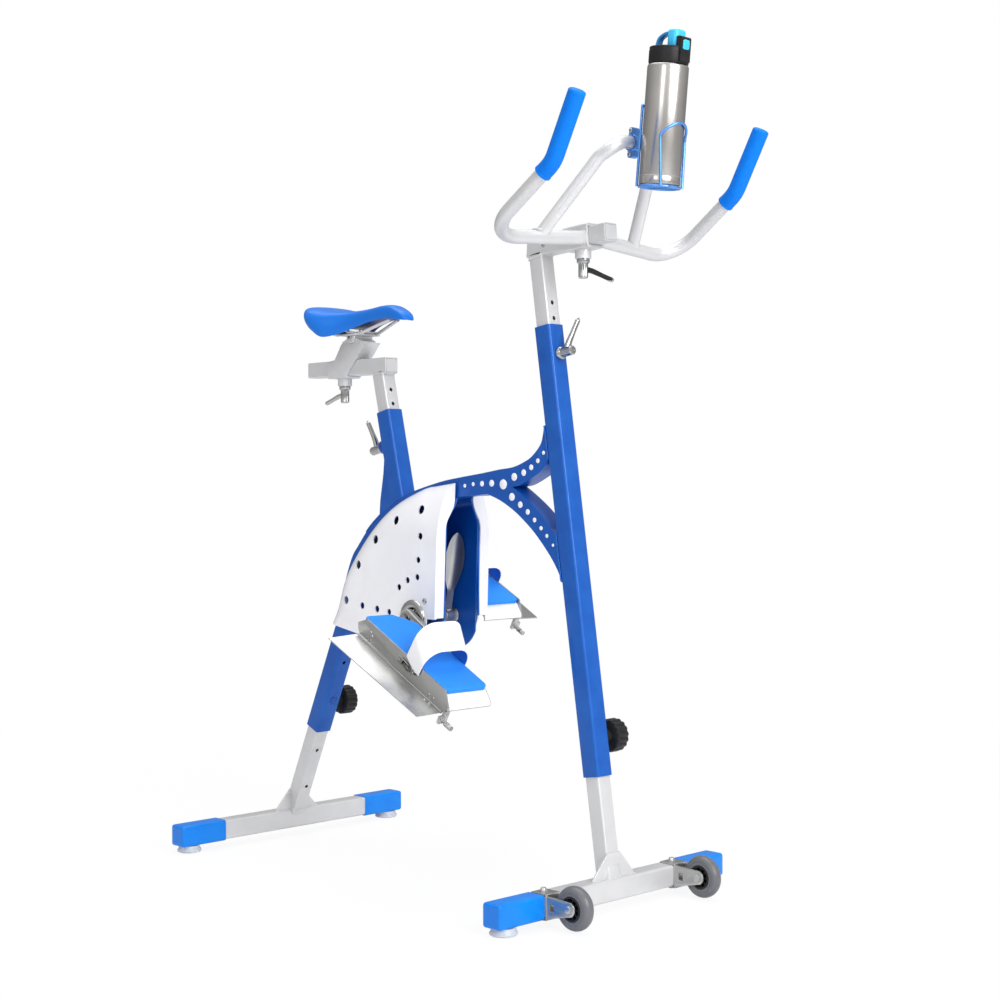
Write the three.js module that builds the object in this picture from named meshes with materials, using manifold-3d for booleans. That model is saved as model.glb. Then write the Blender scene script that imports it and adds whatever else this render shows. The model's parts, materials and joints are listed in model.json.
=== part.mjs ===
// A water exercise bike, built from separate named pieces, in millimetres.
// x points forward to the handlebar, y to the rider's left, z up, and z = 0 is the floor.
import * as THREE from "three";
import { mergeVertices } from "three/addons/utils/BufferGeometryUtils.js";
import Module from "manifold-3d";

const wasm = await Module();
wasm.setup();

// Gaps that keep neighbouring pieces apart
const seatGap = 0.3;
const runningGap = 0.06;
const slideGap = 0.5;
const washerGap = 1;

// Corners closer than this are one corner
const mergeDistance = 3e-4;

// Sides of round bars and holes, of turned pieces and of the large rounds
const roundSides = 10;
const turnedSides = 12;
const largeSides = 20;
const hexSides = 6;

// Tubes
const tubeSize = 40;
const tubeWall = 3;
const tubeCorner = 5;
const postSize = 33;
const postWall = 2.5;
const postCorner = 3;
const indexHole = 4;

// Base bars, their caps and feet
const baseLength = 600;
const barHeight = 36.2;
const capSize = 44;
const capLength = 108;
const capWall = 3;
const capCorner = 6;
const footInset = 30;
const footSpread = baseLength / 2 - footInset;
const footRadius = 25;
const gussetReach = 42;
const gussetHeight = 46;
const gussetThickness = 4;
const rearBarX = -947;

// Front tube and the post that slides in it
const frontTubeX = -30;
const frontTubeZ = 236;
const frontTubeLength = 839;
const frontLean = THREE.MathUtils.degToRad(8.4);
const legOverlap = 160;

// Rear leg, measured along its axis from the rear bar's centre
const rearLean = THREE.MathUtils.degToRad(24.6);
const rearTubeStart = 228;
const rearTubeEnd = 510;
const rearHolePitch = 91;
const rearHoleStart = 88;
const plugRadius = 9;

// Index holes of the seat post and the handlebar post, from the top of their tubes
const postHoleStart = 12;
const postHolePitch = 30;

// Seat tube
const seatTubeX = -613;
const seatTubeZ = 920;
const seatLean = THREE.MathUtils.degToRad(13.3);
const seatBoreDepth = 172;
const seatTubeReach = 230;
const flareTop = 115;
const flareFoot = 235;
const flareWidth = 26;

// Crank axis and the casing round it
const crankX = -461;
const crankZ = 506;
const casingRadius = 254;
const casingWall = 3;
const casingRim = 21;
const casingFace = 71;
const shellFace = 44;
const casingFrontX = -391;
const casingFrontLean = THREE.MathUtils.degToRad(2.4);
const skirtRadius = 70;
const skirtRise = THREE.MathUtils.degToRad(9.8);
const openingHalf = 44;
const openingNeck = 20.5;
const openingShoulder = 182;
const openingSlope = 38;
const windowDepth = 3;
const shaftRadius = 11;
const shaftHalf = 92;
const cupRadius = 36;
const cupSleeve = 26;
const cupFlange = 76;
const bladeTip = 170;
const bladeLean = THREE.MathUtils.degToRad(11);
const bladeTwist = THREE.MathUtils.degToRad(40);
const bladeOffset = 22;
const bladeBreadth = 38;
const bladeThickness = 2.4;
const bladeCup = 9;

// Cranks and pedals
const crankLength = 130;
const crankAngle = THREE.MathUtils.degToRad(-31.2);
const armInner = 78;
const armThickness = 12;
const armOuter = armInner + armThickness;
const armHub = 19;
const armEnd = 14;
const pinRadius = 7;
const pinEnd = 196;
const pedalTilt = THREE.MathUtils.degToRad(28);
const panInner = 98;
const panOuter = 203;
const panTop = 14;
const panSheet = 2.5;
const panBack = -125;
const panFront = 138;
const pinHousing = 11;
const wallOuter = 205.5;
const lipDrop = 12;
const foamHeight = 10;
const foamChamfer = 38;
const finOuter = 278;
const finThickness = 2;
const finHinge = 18.5;
const finBarrel = 3;
const finBack = -127;
const finFront = 146;
const finTaper = 12;
const plungerHeight = -32;
const plungerPin = 3;
const plungerKnob = 5;
const bracketStart = 150;
const bracketThickness = 6;
const plungerKnobStart = 163;
const plungerKnobLength = 19;
const strapInner = 95.2;
const strapOuter = 208.3;
const strapSheet = 2.4;
const strapRise = 76;
const strapCorner = 22;
const strapBand = 57;
const strapFoot = 19;
const strapLean = THREE.MathUtils.degToRad(5.7);
const strapSlant = THREE.MathUtils.degToRad(41.3);

// Transport wheels
const wheelX = 76;
const wheelZ = 41.5;
const wheelInset = 128;
const wheelY = baseLength / 2 - wheelInset;
const wheelRadius = 39;
const rimRadius = 22;
const wheelWidth = 24;
const hubHoles = 6;
const axleRadius = 4;
const bracketHalf = 16;
const bracketSheet = 2.5;
const bracketPlate = 18;
const bracketNose = 13;
const bracketReach = 14;
const bracketSlot = 10;
const clampBolt = 3;
const clampHead = 7;
const clampNut = 5;
const axleHead = 7;

// Clamp knobs on the rider's left
const knobRadius = 31;
const knobInner = 36;
const knobOuter = 65;
const knobStem = 13;
const screwRadius = 5;
const frontKnobHeight = 70;
const rearKnobHeight = 292;
const knobRidges = 16;
const knobGroove = 2;
const knobDish = 22;

// Ratchet clamp levers
const leverScrew = 4;
const leverHub = 9;
const leverFoot = 12;
const leverHeight = 36;
const leverReach = 62;
const leverRise = 17;
const leverKnee = 3;
const leverRoot = 5;
const leverTip = 6;
const bossRadius = 15;
const bossHeight = 16;
const frontLeverDepth = 56;
const frontLeverHeight = frontTubeLength - frontLeverDepth;
const seatLeverDepth = 68;

// Seat
const seatSlideFront = -605;
const seatSlideRear = -862;
const seatSlideZ = 1014;
const seatPostDrop = 190;
const carriageHalf = 21;
const carriageBossX = -756.8;
const cradleX = -708;
const cradleZ = 1077;
const cradleRadius = 13;
const clampHalf = 30;
const clampWidth = 34;
const clampThickness = 9;
const railRadius = 3.5;
const railSpread = 22;
const railReach = 112;
const railRise = 30.5;
const railBack = 82;
const railBackRise = 25.5;
const saddleFront = -549;
const saddleLength = 259;
const saddleFloor = 1078;
const saddleHeight = 72;
const saddleHalf = 86;

// Handlebar
const barPostReach = 135;
const barPostDepth = 149;
const barPostTop = frontTubeLength + barPostReach;
const barPostStart = frontTubeLength - barPostDepth;
const barSlideRear = -197;
const barSlideFront = 5;
const barSlideRise = 160.5;
const barSlideZ = frontTubeZ + frontTubeLength * Math.cos(frontLean) + barSlideRise;
const barSlideLean = THREE.MathUtils.degToRad(4.1);
const sleeveHalf = 22;
const sleeveRear = -95;
const sleeveFront = -33;
const sleeveBossX = -63.3;
const handleRadius = 12.7;
const handleX = -46;
const handleDrop = 7.7;
const handleZ = barSlideZ - handleDrop;
const hornReach = 245;
const gripRadius = 15.5;
const gripLead = 29;
const gripWall = 3;
const hornBend = 60;
const loopRadius = 11.5;
const loopBend = 34;
const ventRadius = 4;

// Drinking bottle and its cage
const bottleX = 121;
const bottleRise = 69.5;
const bottleZ = barSlideZ + bottleRise;
const bottleLean = THREE.MathUtils.degToRad(5.8);
const bottleRadius = 36.5;
const bottleHeight = 209;
const bottleShoulder = 5;
const lidRadius = 35;
const lidHeight = 29;
const lidBracket = 17;
const lidBracketHalf = 13;
const spoutHeight = 33;
const spoutBack = 3;
const spoutFront = 26;
const spoutHalf = 15;
const loopStrip = 6;
const flipHingeX = -26;
const flipBarrel = 3;
const buttonHalf = 7;
const buttonHeight = 12.6;
const buttonProud = 1.5;
const wireRadius = 2.5;
const wireBend = 7.5;
const cageGap = 0.8;
const cageTop = 138;
const cageArch = 107;
const cageShoulder = 85;
const cageWire = THREE.MathUtils.degToRad(46);
const cageSwell = THREE.MathUtils.degToRad(56);
const cageRear = THREE.MathUtils.degToRad(142);

// Shares of the casing radius round the crank axis: the big arched beam's outer edge, front to rear
const beamOuterShares = [
  [0.555, 1.12], [0.331, 1.092], [0.102, 1.057], [-0.209, 0.984], [-0.4, 0.915], [-0.526, 0.85],
  [-0.66, 0.764], [-0.78, 0.667], [-0.906, 0.531], [-0.984, 0.437], [-1.067, 0.252], [-1.138, 0.055],
];
// The same edge along the two arms that run to the front tube
const upperArmShares = [
  [0.776, 1.152], [0.915, 1.168], [1.032, 1.205], [1.116, 1.248], [1.2, 1.328], [1.229, 1.401],
  [1.24, 1.472],
];
const lowerArmShares = [
  [1.421, 0.329], [1.37, 0.421], [1.299, 0.516], [1.197, 0.626], [1.094, 0.72], [0.935, 0.835],
  [0.776, 0.917], [0.634, 0.965],
];
const beamInnerShares = [
  [0.476, 0.949], [0.331, 0.941], [0.1, 0.895], [-0.15, 0.83], [-0.42, 0.71], [-0.61, 0.565],
  [-0.76, 0.395], [-0.86, 0.225], [-0.92, 0.07], [-0.978, -0.055],
];
// The window between the arms, along its upper side to the tube and back along its lower side
const windowUpperShares = [[0.906, 1.02], [0.98, 1.032], [1.07, 1.066], [1.2, 1.13], [1.26, 1.185]];
const windowLowerShares = [[1.31, 0.71], [1.24, 0.788], [1.13, 0.878], [1.0, 0.965], [0.906, 1.02]];
const windowCornerShares = [1.224, 0.691];
const bigHoleShares = [0.811, 1.039];
const bigHoleShare = 0.043;

// Shares of the casing radius: the covers' rim against the beam, and the edge of their flat face
const rimShares = [
  [0.453, 1.083], [0.323, 1.055], [0.106, 1.028], [-0.063, 1], [-0.346, 0.886], [-0.567, 0.724],
  [-0.807, 0.476], [-0.949, 0.252], [-1.047, 0.031], [-1.13, -0.173], [-1.19, -0.4],
];
const faceShares = [
  [0.5, 0.48], [0.4, 0.53], [0.25, 0.59], [0.079, 0.65], [-0.236, 0.65], [-0.472, 0.551],
  [-0.63, 0.394], [-0.764, 0.252], [-0.846, 0], [-0.965, -0.138], [-1.02, -0.4],
];
// Across, up and radius, each as a share of the casing radius
const coverHoleShares = [
  [0.066, 0.842, 0.036], [-0.213, 0.755, 0.036], [-0.45, 0.6, 0.036], [-0.665, 0.392, 0.036],
  [-0.82, 0.1, 0.034], [-0.614, 0.065, 0.027], [-0.429, 0.047, 0.027], [-0.283, 0.031, 0.025],
  [-0.161, 0.232, 0.025], [-0.059, 0.291, 0.025], [0.055, 0.319, 0.025], [0.067, 0.453, 0.025],
  [0.091, 0.638, 0.028],
];
const coverSteps = 13;
const domeRings = 3;
const shellShare = 0.885;
const shellFaceShare = 0.93;

// Along the saddle, half width, top, skirt edge and hollow underneath, as shares of its sizes
const saddleShares = [
  [0, 0.14, 0.43, 0.35, 0.36], [0.03, 0.2, 0.57, 0.36, 0.4], [0.09, 0.24, 0.71, 0.39, 0.44],
  [0.17, 0.26, 0.82, 0.43, 0.465], [0.27, 0.28, 0.83, 0.43, 0.46], [0.37, 0.31, 0.79, 0.38, 0.42],
  [0.48, 0.36, 0.76, 0.29, 0.36], [0.58, 0.45, 0.75, 0.18, 0.32], [0.68, 0.62, 0.77, 0.06, 0.29],
  [0.79, 0.85, 0.81, 0, 0.28], [0.88, 0.95, 0.885, 0.2, 0.36], [0.945, 0.93, 0.935, 0.38, 0.42],
  [0.985, 0.8, 0.95, 0.54, 0.62], [1, 0.6, 0.925, 0.68, 0.72],
];
// Round one half of a saddle section, from the crown to the hollow: width, then height from edge to top
const saddleRingShares = [
  [0, 1], [0.34, 0.985], [0.64, 0.94], [0.86, 0.84], [0.97, 0.66], [1, 0.42], [0.97, 0.18], [0.9, 0],
];

const saddleHollowShares = [0.78, 0.55];

// Side of the carriage under the saddle, as shares of its length and height from the front lower corner
const carriageLength = 66;
const carriageHeight = 72;
const carriageShares = [
  [0, 0], [1.03, 0.99], [-0.16, 0.99], [-0.51, 0.54], [-0.87, 0.5], [-0.87, 0],
];
const carriageFrontX = -732;

// Side wall of a pedal, along and above the pan's top, as shares of half the pan's length
const panHalf = 131.5;
const wallShares = [
  [-0.859, 0.076], [-1.019, -0.068], [-0.973, -0.16], [-0.913, -0.205], [1.156, -0.221],
  [1.209, -0.103], [1.049, 0.076],
];
const toeShares = [[1.045, 0], [1.21, -0.106], [1.225, -0.15]];
const wallHoleShares = [[-0.7, -0.05], [-0.655, -0.085]];

// Handlebar points: forward, out and up, as shares of the horn's reach to one side
const hornShares = [
  [0, 0.09, 0], [-0.061, 1.016, -0.066], [0.583, 0.993, 0.377], [0.82, 1.002, 0.819],
];
const loopShares = [
  [-0.029, 0.506, -0.02], [0.359, 0.286, 0.531], [0.473, 0.241, 0.601], [0.433, 0.094, 0.654],
];

// A foot's profile: radius as a share of its widest radius, height as a share of its height
const footShares = [[0.88, 0], [1, 0.18], [0.98, 0.42], [0.84, 1]];
// A tyre's side: how far out from the rim, and the half width there
const tyreShares = [[0.25, 1], [0.7, 0.86], [0.95, 0.45]];
// A bolt head above its seat: radius and height as shares of the head's radius
const headShares = [[1, 0.25], [0.7, 0.95], [0, 1.1]];
// A lever's hub: radius as a share of the hub's radius, height as a share of the lever's height
const hubShares = [[1.33, 0.2], [1, 0.28], [1, 0.9], [0.75, 1]];
// A bottle's side: radius and height as shares of its own
const bottleShares = [[0.93, 0], [1, 0.012], [1, 0.07], [0.985, 0.075], [1, 0.085], [1, 0.976]];
// A blade's half breadth at its root and how much its middle adds, as shares of its breadth
const bladeRootShare = 0.17;
const bladeSwellShare = 0.33;
const bladeSwellStartShare = 0.28;
// The window in a wheel bracket's arms, as shares of its length: where its foot and its head are
const slotFootShare = 0.6;
const slotHeadShare = 0.75;

// Colours and surfaces
const finishes = {
  frameBlue: [0x1f4fb0, 0.38, 0.55],
  capBlue: [0x1673e6, 0.45, 0],
  silver: [0xb9bcc0, 0.42, 0.6],
  white: [0xf4f6f8, 0.25, 0],
  chrome: [0xd5d8dc, 0.15, 1],
  steel: [0xb4b4b2, 0.3, 0.9],
  black: [0x1c1c1e, 0.5, 0],
  tyre: [0x9aa0a6, 0.4, 0],
  padBlue: [0x1878ee, 0.6, 0],
  cyan: [0x35b8ee, 0.4, 0],
  cageBlue: [0x2f7fe0, 0.3, 0.6],
};

// A material in one of the finishes
function finishOf(key) {
  const [color, roughness, metalness] = finishes[key];
  return new THREE.MeshStandardMaterial({ color, roughness, metalness });
}

// A closed geometry turned so that its faces point outwards
function facingOut(geometry) {
  const source = geometry.index ? geometry.toNonIndexed() : geometry;
  const flat = new THREE.BufferGeometry();
  flat.setAttribute("position", source.getAttribute("position").clone());
  const place = flat.getAttribute("position");
  const [a, b, c] = [new THREE.Vector3(), new THREE.Vector3(), new THREE.Vector3()];
  let volume = 0;
  for (let i = 0; i < place.count; i += 3) {
    a.fromBufferAttribute(place, i);
    b.fromBufferAttribute(place, i + 1);
    c.fromBufferAttribute(place, i + 2);
    volume += a.dot(b.clone().cross(c));
  }
  if (volume >= 0) return flat;
  for (let i = 0; i < place.count; i += 3) {
    b.fromBufferAttribute(place, i + 1);
    c.fromBufferAttribute(place, i + 2);
    place.setXYZ(i + 1, c.x, c.y, c.z);
    place.setXYZ(i + 2, b.x, b.y, b.z);
  }
  return flat;
}

// A geometry as a solid for booleans
function solidOf(geometry) {
  const merged = mergeVertices(facingOut(geometry), mergeDistance);
  const vertProperties = new Float32Array(merged.attributes.position.array);
  const triVerts = new Uint32Array(merged.index.array);
  return new wasm.Manifold(new wasm.Mesh({ numProp: 3, vertProperties, triVerts }));
}

// A solid back as a geometry
function geometryOf(solid) {
  const { numProp, vertProperties, triVerts } = solid.getMesh();
  const corners = new Float32Array(triVerts.length * 3);
  triVerts.forEach((v, i) => {
    corners.set(vertProperties.subarray(v * numProp, v * numProp + 3), i * 3);
  });
  const geometry = new THREE.BufferGeometry();
  return geometry.setAttribute("position", new THREE.BufferAttribute(corners, 3));
}

function join(...geometries) {
  return geometryOf(geometries.map(solidOf).reduce((all, one) => all.add(one)));
}

function cut(body, ...tools) {
  return geometryOf(tools.map(solidOf).reduce((left, tool) => left.subtract(tool), solidOf(body)));
}

// A named mesh
function piece(name, geometry, finish) {
  const mesh = new THREE.Mesh(facingOut(geometry), finishOf(finish));
  mesh.name = name;
  return mesh;
}

// A named group with its pivot at a point, turned about y
function pivot(name, [x, y, z], turn, ...children) {
  const group = new THREE.Group();
  group.name = name;
  group.position.set(x, y, z);
  group.rotation.y = turn;
  group.add(...children);
  return group;
}

// A closed outline through points
function outline(points) {
  return new THREE.Shape(points.map(([x, y]) => new THREE.Vector2(x, y)));
}

// An outline in the xz plane pulled along y from one side to the other
function slab(shape, from, to, segments = 12) {
  const options = { depth: Math.abs(to - from), bevelEnabled: false, curveSegments: segments };
  const geometry = new THREE.ExtrudeGeometry(shape, options);
  return geometry.rotateX(Math.PI / 2).translate(0, Math.max(from, to), 0);
}

// An outline in the xy plane pulled along z from one height to another
function plate(shape, from, to, segments = 12) {
  const options = { depth: to - from, bevelEnabled: false, curveSegments: segments };
  return new THREE.ExtrudeGeometry(shape, options).translate(0, 0, from);
}

// A box between two corners
function block([x0, y0, z0], [x1, y1, z1]) {
  const box = new THREE.BoxGeometry(x1 - x0, y1 - y0, z1 - z0);
  return box.translate((x0 + x1) / 2, (y0 + y1) / 2, (z0 + z1) / 2);
}

// A square outline with rounded corners
function roundedSquare(size, corner) {
  const half = size / 2;
  const shape = new THREE.Shape();
  shape.moveTo(-half + corner, -half);
  shape.lineTo(half - corner, -half);
  shape.absarc(half - corner, -half + corner, corner, -Math.PI / 2, 0);
  shape.lineTo(half, half - corner);
  shape.absarc(half - corner, half - corner, corner, 0, Math.PI / 2);
  shape.lineTo(-half + corner, half);
  shape.absarc(-half + corner, half - corner, corner, Math.PI / 2, Math.PI);
  shape.lineTo(-half, -half + corner);
  shape.absarc(-half + corner, -half + corner, corner, Math.PI, 1.5 * Math.PI);
  return shape;
}

// A square bar with rounded corners, along z
function squareBar(size, corner, from, to) {
  return plate(roundedSquare(size, corner), from, to, 2);
}

// A round rod along z
function rod(radius, from, to, sides = roundSides) {
  const cylinder = new THREE.CylinderGeometry(radius, radius, to - from, sides);
  return cylinder.rotateX(Math.PI / 2).translate(0, 0, (from + to) / 2);
}

// A round rod along y
function rodAcross(radius, from, to, sides = roundSides) {
  return rod(radius, Math.min(from, to), Math.max(from, to), sides).rotateX(Math.PI / 2).scale(1, -1, 1);
}

// The radius of a faceted hole that clears a round pin by the running gap
function boreOf(radius, sides = roundSides) {
  return (radius + runningGap) / Math.cos(Math.PI / sides);
}

// A profile of radius and height turned about z
function lathe(profile, sides = turnedSides) {
  const points = profile.map(([r, z]) => new THREE.Vector2(r, z));
  return new THREE.LatheGeometry(points, sides).rotateX(Math.PI / 2);
}

// A point on the casing from its shares of the casing radius
function fromCrank([across, up], grow = 0) {
  const radius = casingRadius + grow;
  return [crankX + across * radius, crankZ + up * radius];
}

// Points along a smooth curve through shares of the casing radius
function smoothly(shares, count, grow = 0) {
  const knots = shares.map((share) => new THREE.Vector2(...fromCrank(share, grow)));
  return new THREE.SplineCurve(knots).getPoints(count).map((p) => [p.x, p.y]);
}

// A closed skin over rings of equal count, with a flat lid on the first and last ring
function loft(rings, flatten) {
  const count = rings[0].length;
  const corners = [];
  const face = (...points) => points.forEach((p) => corners.push(p.x, p.y, p.z));
  for (let r = 0; r + 1 < rings.length; r += 1) {
    for (let i = 0; i < count; i += 1) {
      const next = (i + 1) % count;
      face(rings[r][i], rings[r][next], rings[r + 1][next]);
      face(rings[r][i], rings[r + 1][next], rings[r + 1][i]);
    }
  }
  const lid = (ring, forward) => {
    const flat = ring.map(flatten);
    const turning = THREE.ShapeUtils.area(flat) > 0;
    THREE.ShapeUtils.triangulateShape(flat, []).forEach(([a, b, c]) => {
      const same = THREE.ShapeUtils.area([flat[a], flat[b], flat[c]]) > 0 === turning;
      if (same === forward) face(ring[a], ring[b], ring[c]);
      else face(ring[a], ring[c], ring[b]);
    });
  };
  lid(rings[0], false);
  lid(rings[rings.length - 1], true);
  const geometry = new THREE.BufferGeometry();
  const place = new THREE.BufferAttribute(new Float32Array(corners), 3);
  return geometry.setAttribute("position", place);
}

// A path of straight runs and rounded bends that puts stations only where the tube turns
class BentPath extends THREE.Curve {
  constructor(points, bend, steps) {
    super();
    const knots = points.map((p) => new THREE.Vector3(...p));
    this.stations = [knots[0]];
    this.tangents = [knots[1].clone().sub(knots[0]).normalize()];
    for (let i = 1; i + 1 < knots.length; i += 1) this.addBend(knots, i, bend, steps);
    const last = knots.length - 1;
    this.stations.push(knots[last]);
    this.tangents.push(knots[last].clone().sub(knots[last - 1]).normalize());
  }

  addBend(knots, i, bend, steps) {
    const incoming = knots[i].clone().sub(knots[i - 1]).normalize();
    const outgoing = knots[i + 1].clone().sub(knots[i]).normalize();
    const turn = incoming.angleTo(outgoing);
    const setback = bend * Math.tan(turn / 2);
    const start = knots[i].clone().addScaledVector(incoming, -setback);
    const inward = outgoing.clone().addScaledVector(incoming, -outgoing.dot(incoming)).normalize();
    for (let s = 0; s <= steps; s += 1) {
      const angle = (turn * s) / steps;
      const station = start.clone().addScaledVector(incoming, bend * Math.sin(angle));
      station.addScaledVector(inward, bend * (1 - Math.cos(angle)));
      const tangent = incoming.clone().multiplyScalar(Math.cos(angle));
      this.stations.push(station);
      this.tangents.push(tangent.addScaledVector(inward, Math.sin(angle)));
    }
  }

  getPoint(t) {
    return this.stations[Math.round(t * (this.stations.length - 1))].clone();
  }

  getPointAt(t) {
    return this.getPoint(t);
  }

  getTangentAt(t) {
    return this.tangents[Math.round(t * (this.stations.length - 1))].clone();
  }
}

// A round bar bent along points
function bentBar(points, radius, bend, steps = 4, sides = 12) {
  const path = new BentPath(points, bend, steps);
  const circle = new THREE.Shape(
    Array.from({ length: sides }, (_, i) => {
      const angle = (2 * Math.PI * i) / sides;
      return new THREE.Vector2(radius * Math.cos(angle), radius * Math.sin(angle));
    }),
  );
  const options = { steps: path.stations.length - 1, bevelEnabled: false, extrudePath: path };
  return new THREE.ExtrudeGeometry(circle, options);
}

// Base bar pulled along y
function baseBarSolid(size, corner, half) {
  return squareBar(size, corner, -half, half).rotateX(Math.PI / 2);
}

// Welded base: cross bar, leaning post and two gussets, hollow like the tubes it is made of
function standGeometry(lean, start, length, holes, boltSpots) {
  const half = baseLength / 2 - capWall - seatGap;
  const rise = tubeSize / 2 / Math.cos(lean);
  const post = squareBar(postSize, postCorner, 0, length).rotateY(lean).translate(start, 0, 0);
  const bar = baseBarSolid(tubeSize, tubeCorner, half);
  const root = start + (rise + gussetHeight / 2) * Math.tan(lean);
  const gusset = outline([
    [-gussetReach - postSize / 2, 0], [gussetReach + postSize / 2, 0],
    [postSize / 2, gussetHeight + tubeWall], [-postSize / 2, gussetHeight + tubeWall],
  ]);
  const web = plate(gusset, 0, gussetThickness).rotateX(Math.PI / 2).rotateZ(Math.PI / 2);
  const front = tubeSize / 2 - gussetThickness - tubeCorner;
  web.translate(Math.min(front, root + postSize / 2 - gussetThickness), 0, tubeSize / 2 - tubeWall);
  const postInner = postSize - 2 * postWall;
  const hollowPost = squareBar(postInner, postCorner / 2, rise + tubeWall, length + tubeWall);
  const tools = [
    baseBarSolid(tubeSize - 2 * tubeWall, tubeWall, half + tubeWall),
    hollowPost.rotateY(lean).translate(start, 0, 0),
  ];
  holes.forEach((along) => {
    const drill = rod(indexHole, 0, postSize, hexSides).rotateY(Math.PI / 2).translate(0, 0, along);
    tools.push(drill.rotateY(lean).translate(start, 0, 0));
  });
  boltSpots.forEach((y) => {
    const bore = (clampBolt + seatGap) / Math.cos(Math.PI / roundSides);
    tools.push(rod(bore, -tubeSize, tubeSize).translate(0, y, 0));
  });
  return cut(join(bar, post, web), ...tools);
}

// Moulded cap over one end of a base bar
function capGeometry(side) {
  const outer = baseLength / 2;
  const body = squareBar(capSize, capCorner, 0, capLength).rotateX(Math.PI / 2);
  const pocket = squareBar(tubeSize + 2 * seatGap, tubeCorner, -tubeWall, capLength - capWall);
  const cap = cut(body, pocket.rotateX(Math.PI / 2));
  cap.translate(0, -outer + capLength, 0);
  return side > 0 ? cap.scale(1, -1, 1) : cap;
}

// Soft foot under a cap: a low dish that narrows to the cap
function footGeometry() {
  const top = barHeight - capSize / 2 - seatGap;
  const side = footShares.map(([r, z]) => [r * footRadius, z * top]);
  return lathe([[0, 0], ...side, [0, top]]);
}

// Wheel bracket: channel round the front of the bar, two slotted arms, axle and clamp bolt
function wheelBracketGeometry() {
  const barHalf = tubeSize / 2 + seatGap;
  const front = barHalf - wheelX;
  const rear = -wheelX - bracketReach;
  const middle = barHeight - wheelZ;
  const skin = barHalf + bracketSheet;
  const channel = slab(outline([
    [rear, middle + barHalf], [front, middle + barHalf], [front, middle - barHalf],
    [rear, middle - barHalf], [rear, middle - skin], [front + bracketSheet, middle - skin],
    [front + bracketSheet, middle + skin], [rear, middle + skin],
  ]), -bracketPlate, bracketPlate);
  const arm = new THREE.Shape();
  arm.moveTo(front, middle - barHalf);
  arm.lineTo(front, middle + barHalf);
  arm.lineTo(0, bracketNose);
  arm.absarc(0, 0, bracketNose, Math.PI / 2, -Math.PI / 2, true);
  arm.lineTo(front, middle - barHalf);
  const slotX = front + bracketSlot;
  const slot = block(
    [slotX, -bracketPlate, middle - bracketSlot * slotFootShare],
    [slotX + bracketSlot, bracketPlate, middle + bracketSlot * slotHeadShare],
  );
  const arms = [-1, 1].map((s) => {
    return cut(slab(arm, s * (bracketHalf - bracketSheet), s * bracketHalf, 5), slot);
  });
  const bolt = rodAcross(axleRadius, -bracketHalf - leverScrew, bracketHalf + leverScrew);
  const heads = [-1, 1].map((s) => {
    return rodAcross(axleHead, s * bracketHalf, s * (bracketHalf + leverScrew), hexSides);
  });
  const clamp = lathe([
    [0, middle - skin - clampNut], [clampHead, middle - skin - clampNut], [clampHead, middle - skin],
    [clampBolt, middle - skin], [clampBolt, middle + skin], [clampHead, middle + skin],
    ...headShares.map(([r, z]) => [r * clampHead, middle + skin + z * clampHead]),
  ], hexSides).translate(-wheelX, 0, 0);
  return join(channel, ...arms, bolt, ...heads, clamp);
}

// Tyre like a skate wheel's: full at the rim, drawn in towards the tread
function tyreGeometry() {
  const half = wheelWidth / 2;
  const bore = (rimRadius + seatGap) / Math.cos(Math.PI / largeSides);
  const depth = wheelRadius - rimRadius;
  const side = tyreShares.map(([out, wide]) => [rimRadius + out * depth, wide * half]);
  return lathe([
    [bore, half - seatGap], ...side, [wheelRadius, 0],
    ...side.map(([r, y]) => [r, -y]).reverse(), [bore, seatGap - half], [bore, half - seatGap],
  ], largeSides).rotateX(Math.PI / 2);
}

// Wheel hub: boss, web with round holes and the rim that holds the tyre
function wheelHubGeometry() {
  const half = wheelWidth / 2;
  const web = wheelWidth / 8;
  const bore = boreOf(axleRadius, turnedSides);
  const rim = rimRadius - tubeWall;
  const hub = axleRadius * 2;
  const body = lathe([
    [bore, -half], [hub, -half], [hub, -web], [rim, -web], [rim, -half], [rimRadius, -half],
    [rimRadius, half], [rim, half], [rim, web], [hub, web], [hub, half], [bore, half], [bore, -half],
  ]);
  const holeRing = (rim + hub) / 2;
  const lightening = Array.from({ length: hubHoles }, (_, i) => {
    const angle = (2 * Math.PI * i) / hubHoles;
    return rod((rim - hub) / 3, -half, half, hexSides)
      .translate(holeRing * Math.cos(angle), holeRing * Math.sin(angle), 0);
  });
  return cut(body, ...lightening).rotateX(Math.PI / 2);
}

// Front tube with holes for its knob, its lever and the index pin
function frontTubeGeometry() {
  const body = squareBar(tubeSize, tubeCorner, 0, frontTubeLength);
  const bore = squareBar(postSize + 2 * slideGap, postCorner, -tubeWall, frontTubeLength + tubeWall);
  const knobHole = rod(boreOf(screwRadius), 0, tubeSize).rotateX(-Math.PI / 2);
  const leverHole = rod(boreOf(leverScrew), 0, tubeSize).rotateY(Math.PI / 2);
  return cut(
    body, bore, knobHole.translate(0, 0, frontKnobHeight),
    leverHole.translate(0, 0, frontLeverHeight),
  );
}

// The front tube's rear face, as x for a height
function frontTubeRear(z) {
  return frontTubeX - tubeSize / 2 / Math.cos(frontLean) - (z - frontTubeZ) * Math.tan(frontLean);
}

// A point along a leaning axis, with an offset square to it
function onAxis([x, z], lean, along, offset) {
  return [
    x + along * Math.sin(lean) + offset * Math.cos(lean),
    z + along * Math.cos(lean) - offset * Math.sin(lean),
  ];
}

const rearAxis = [rearBarX, barHeight];
const seatAxis = [seatTubeX, seatTubeZ];

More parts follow.
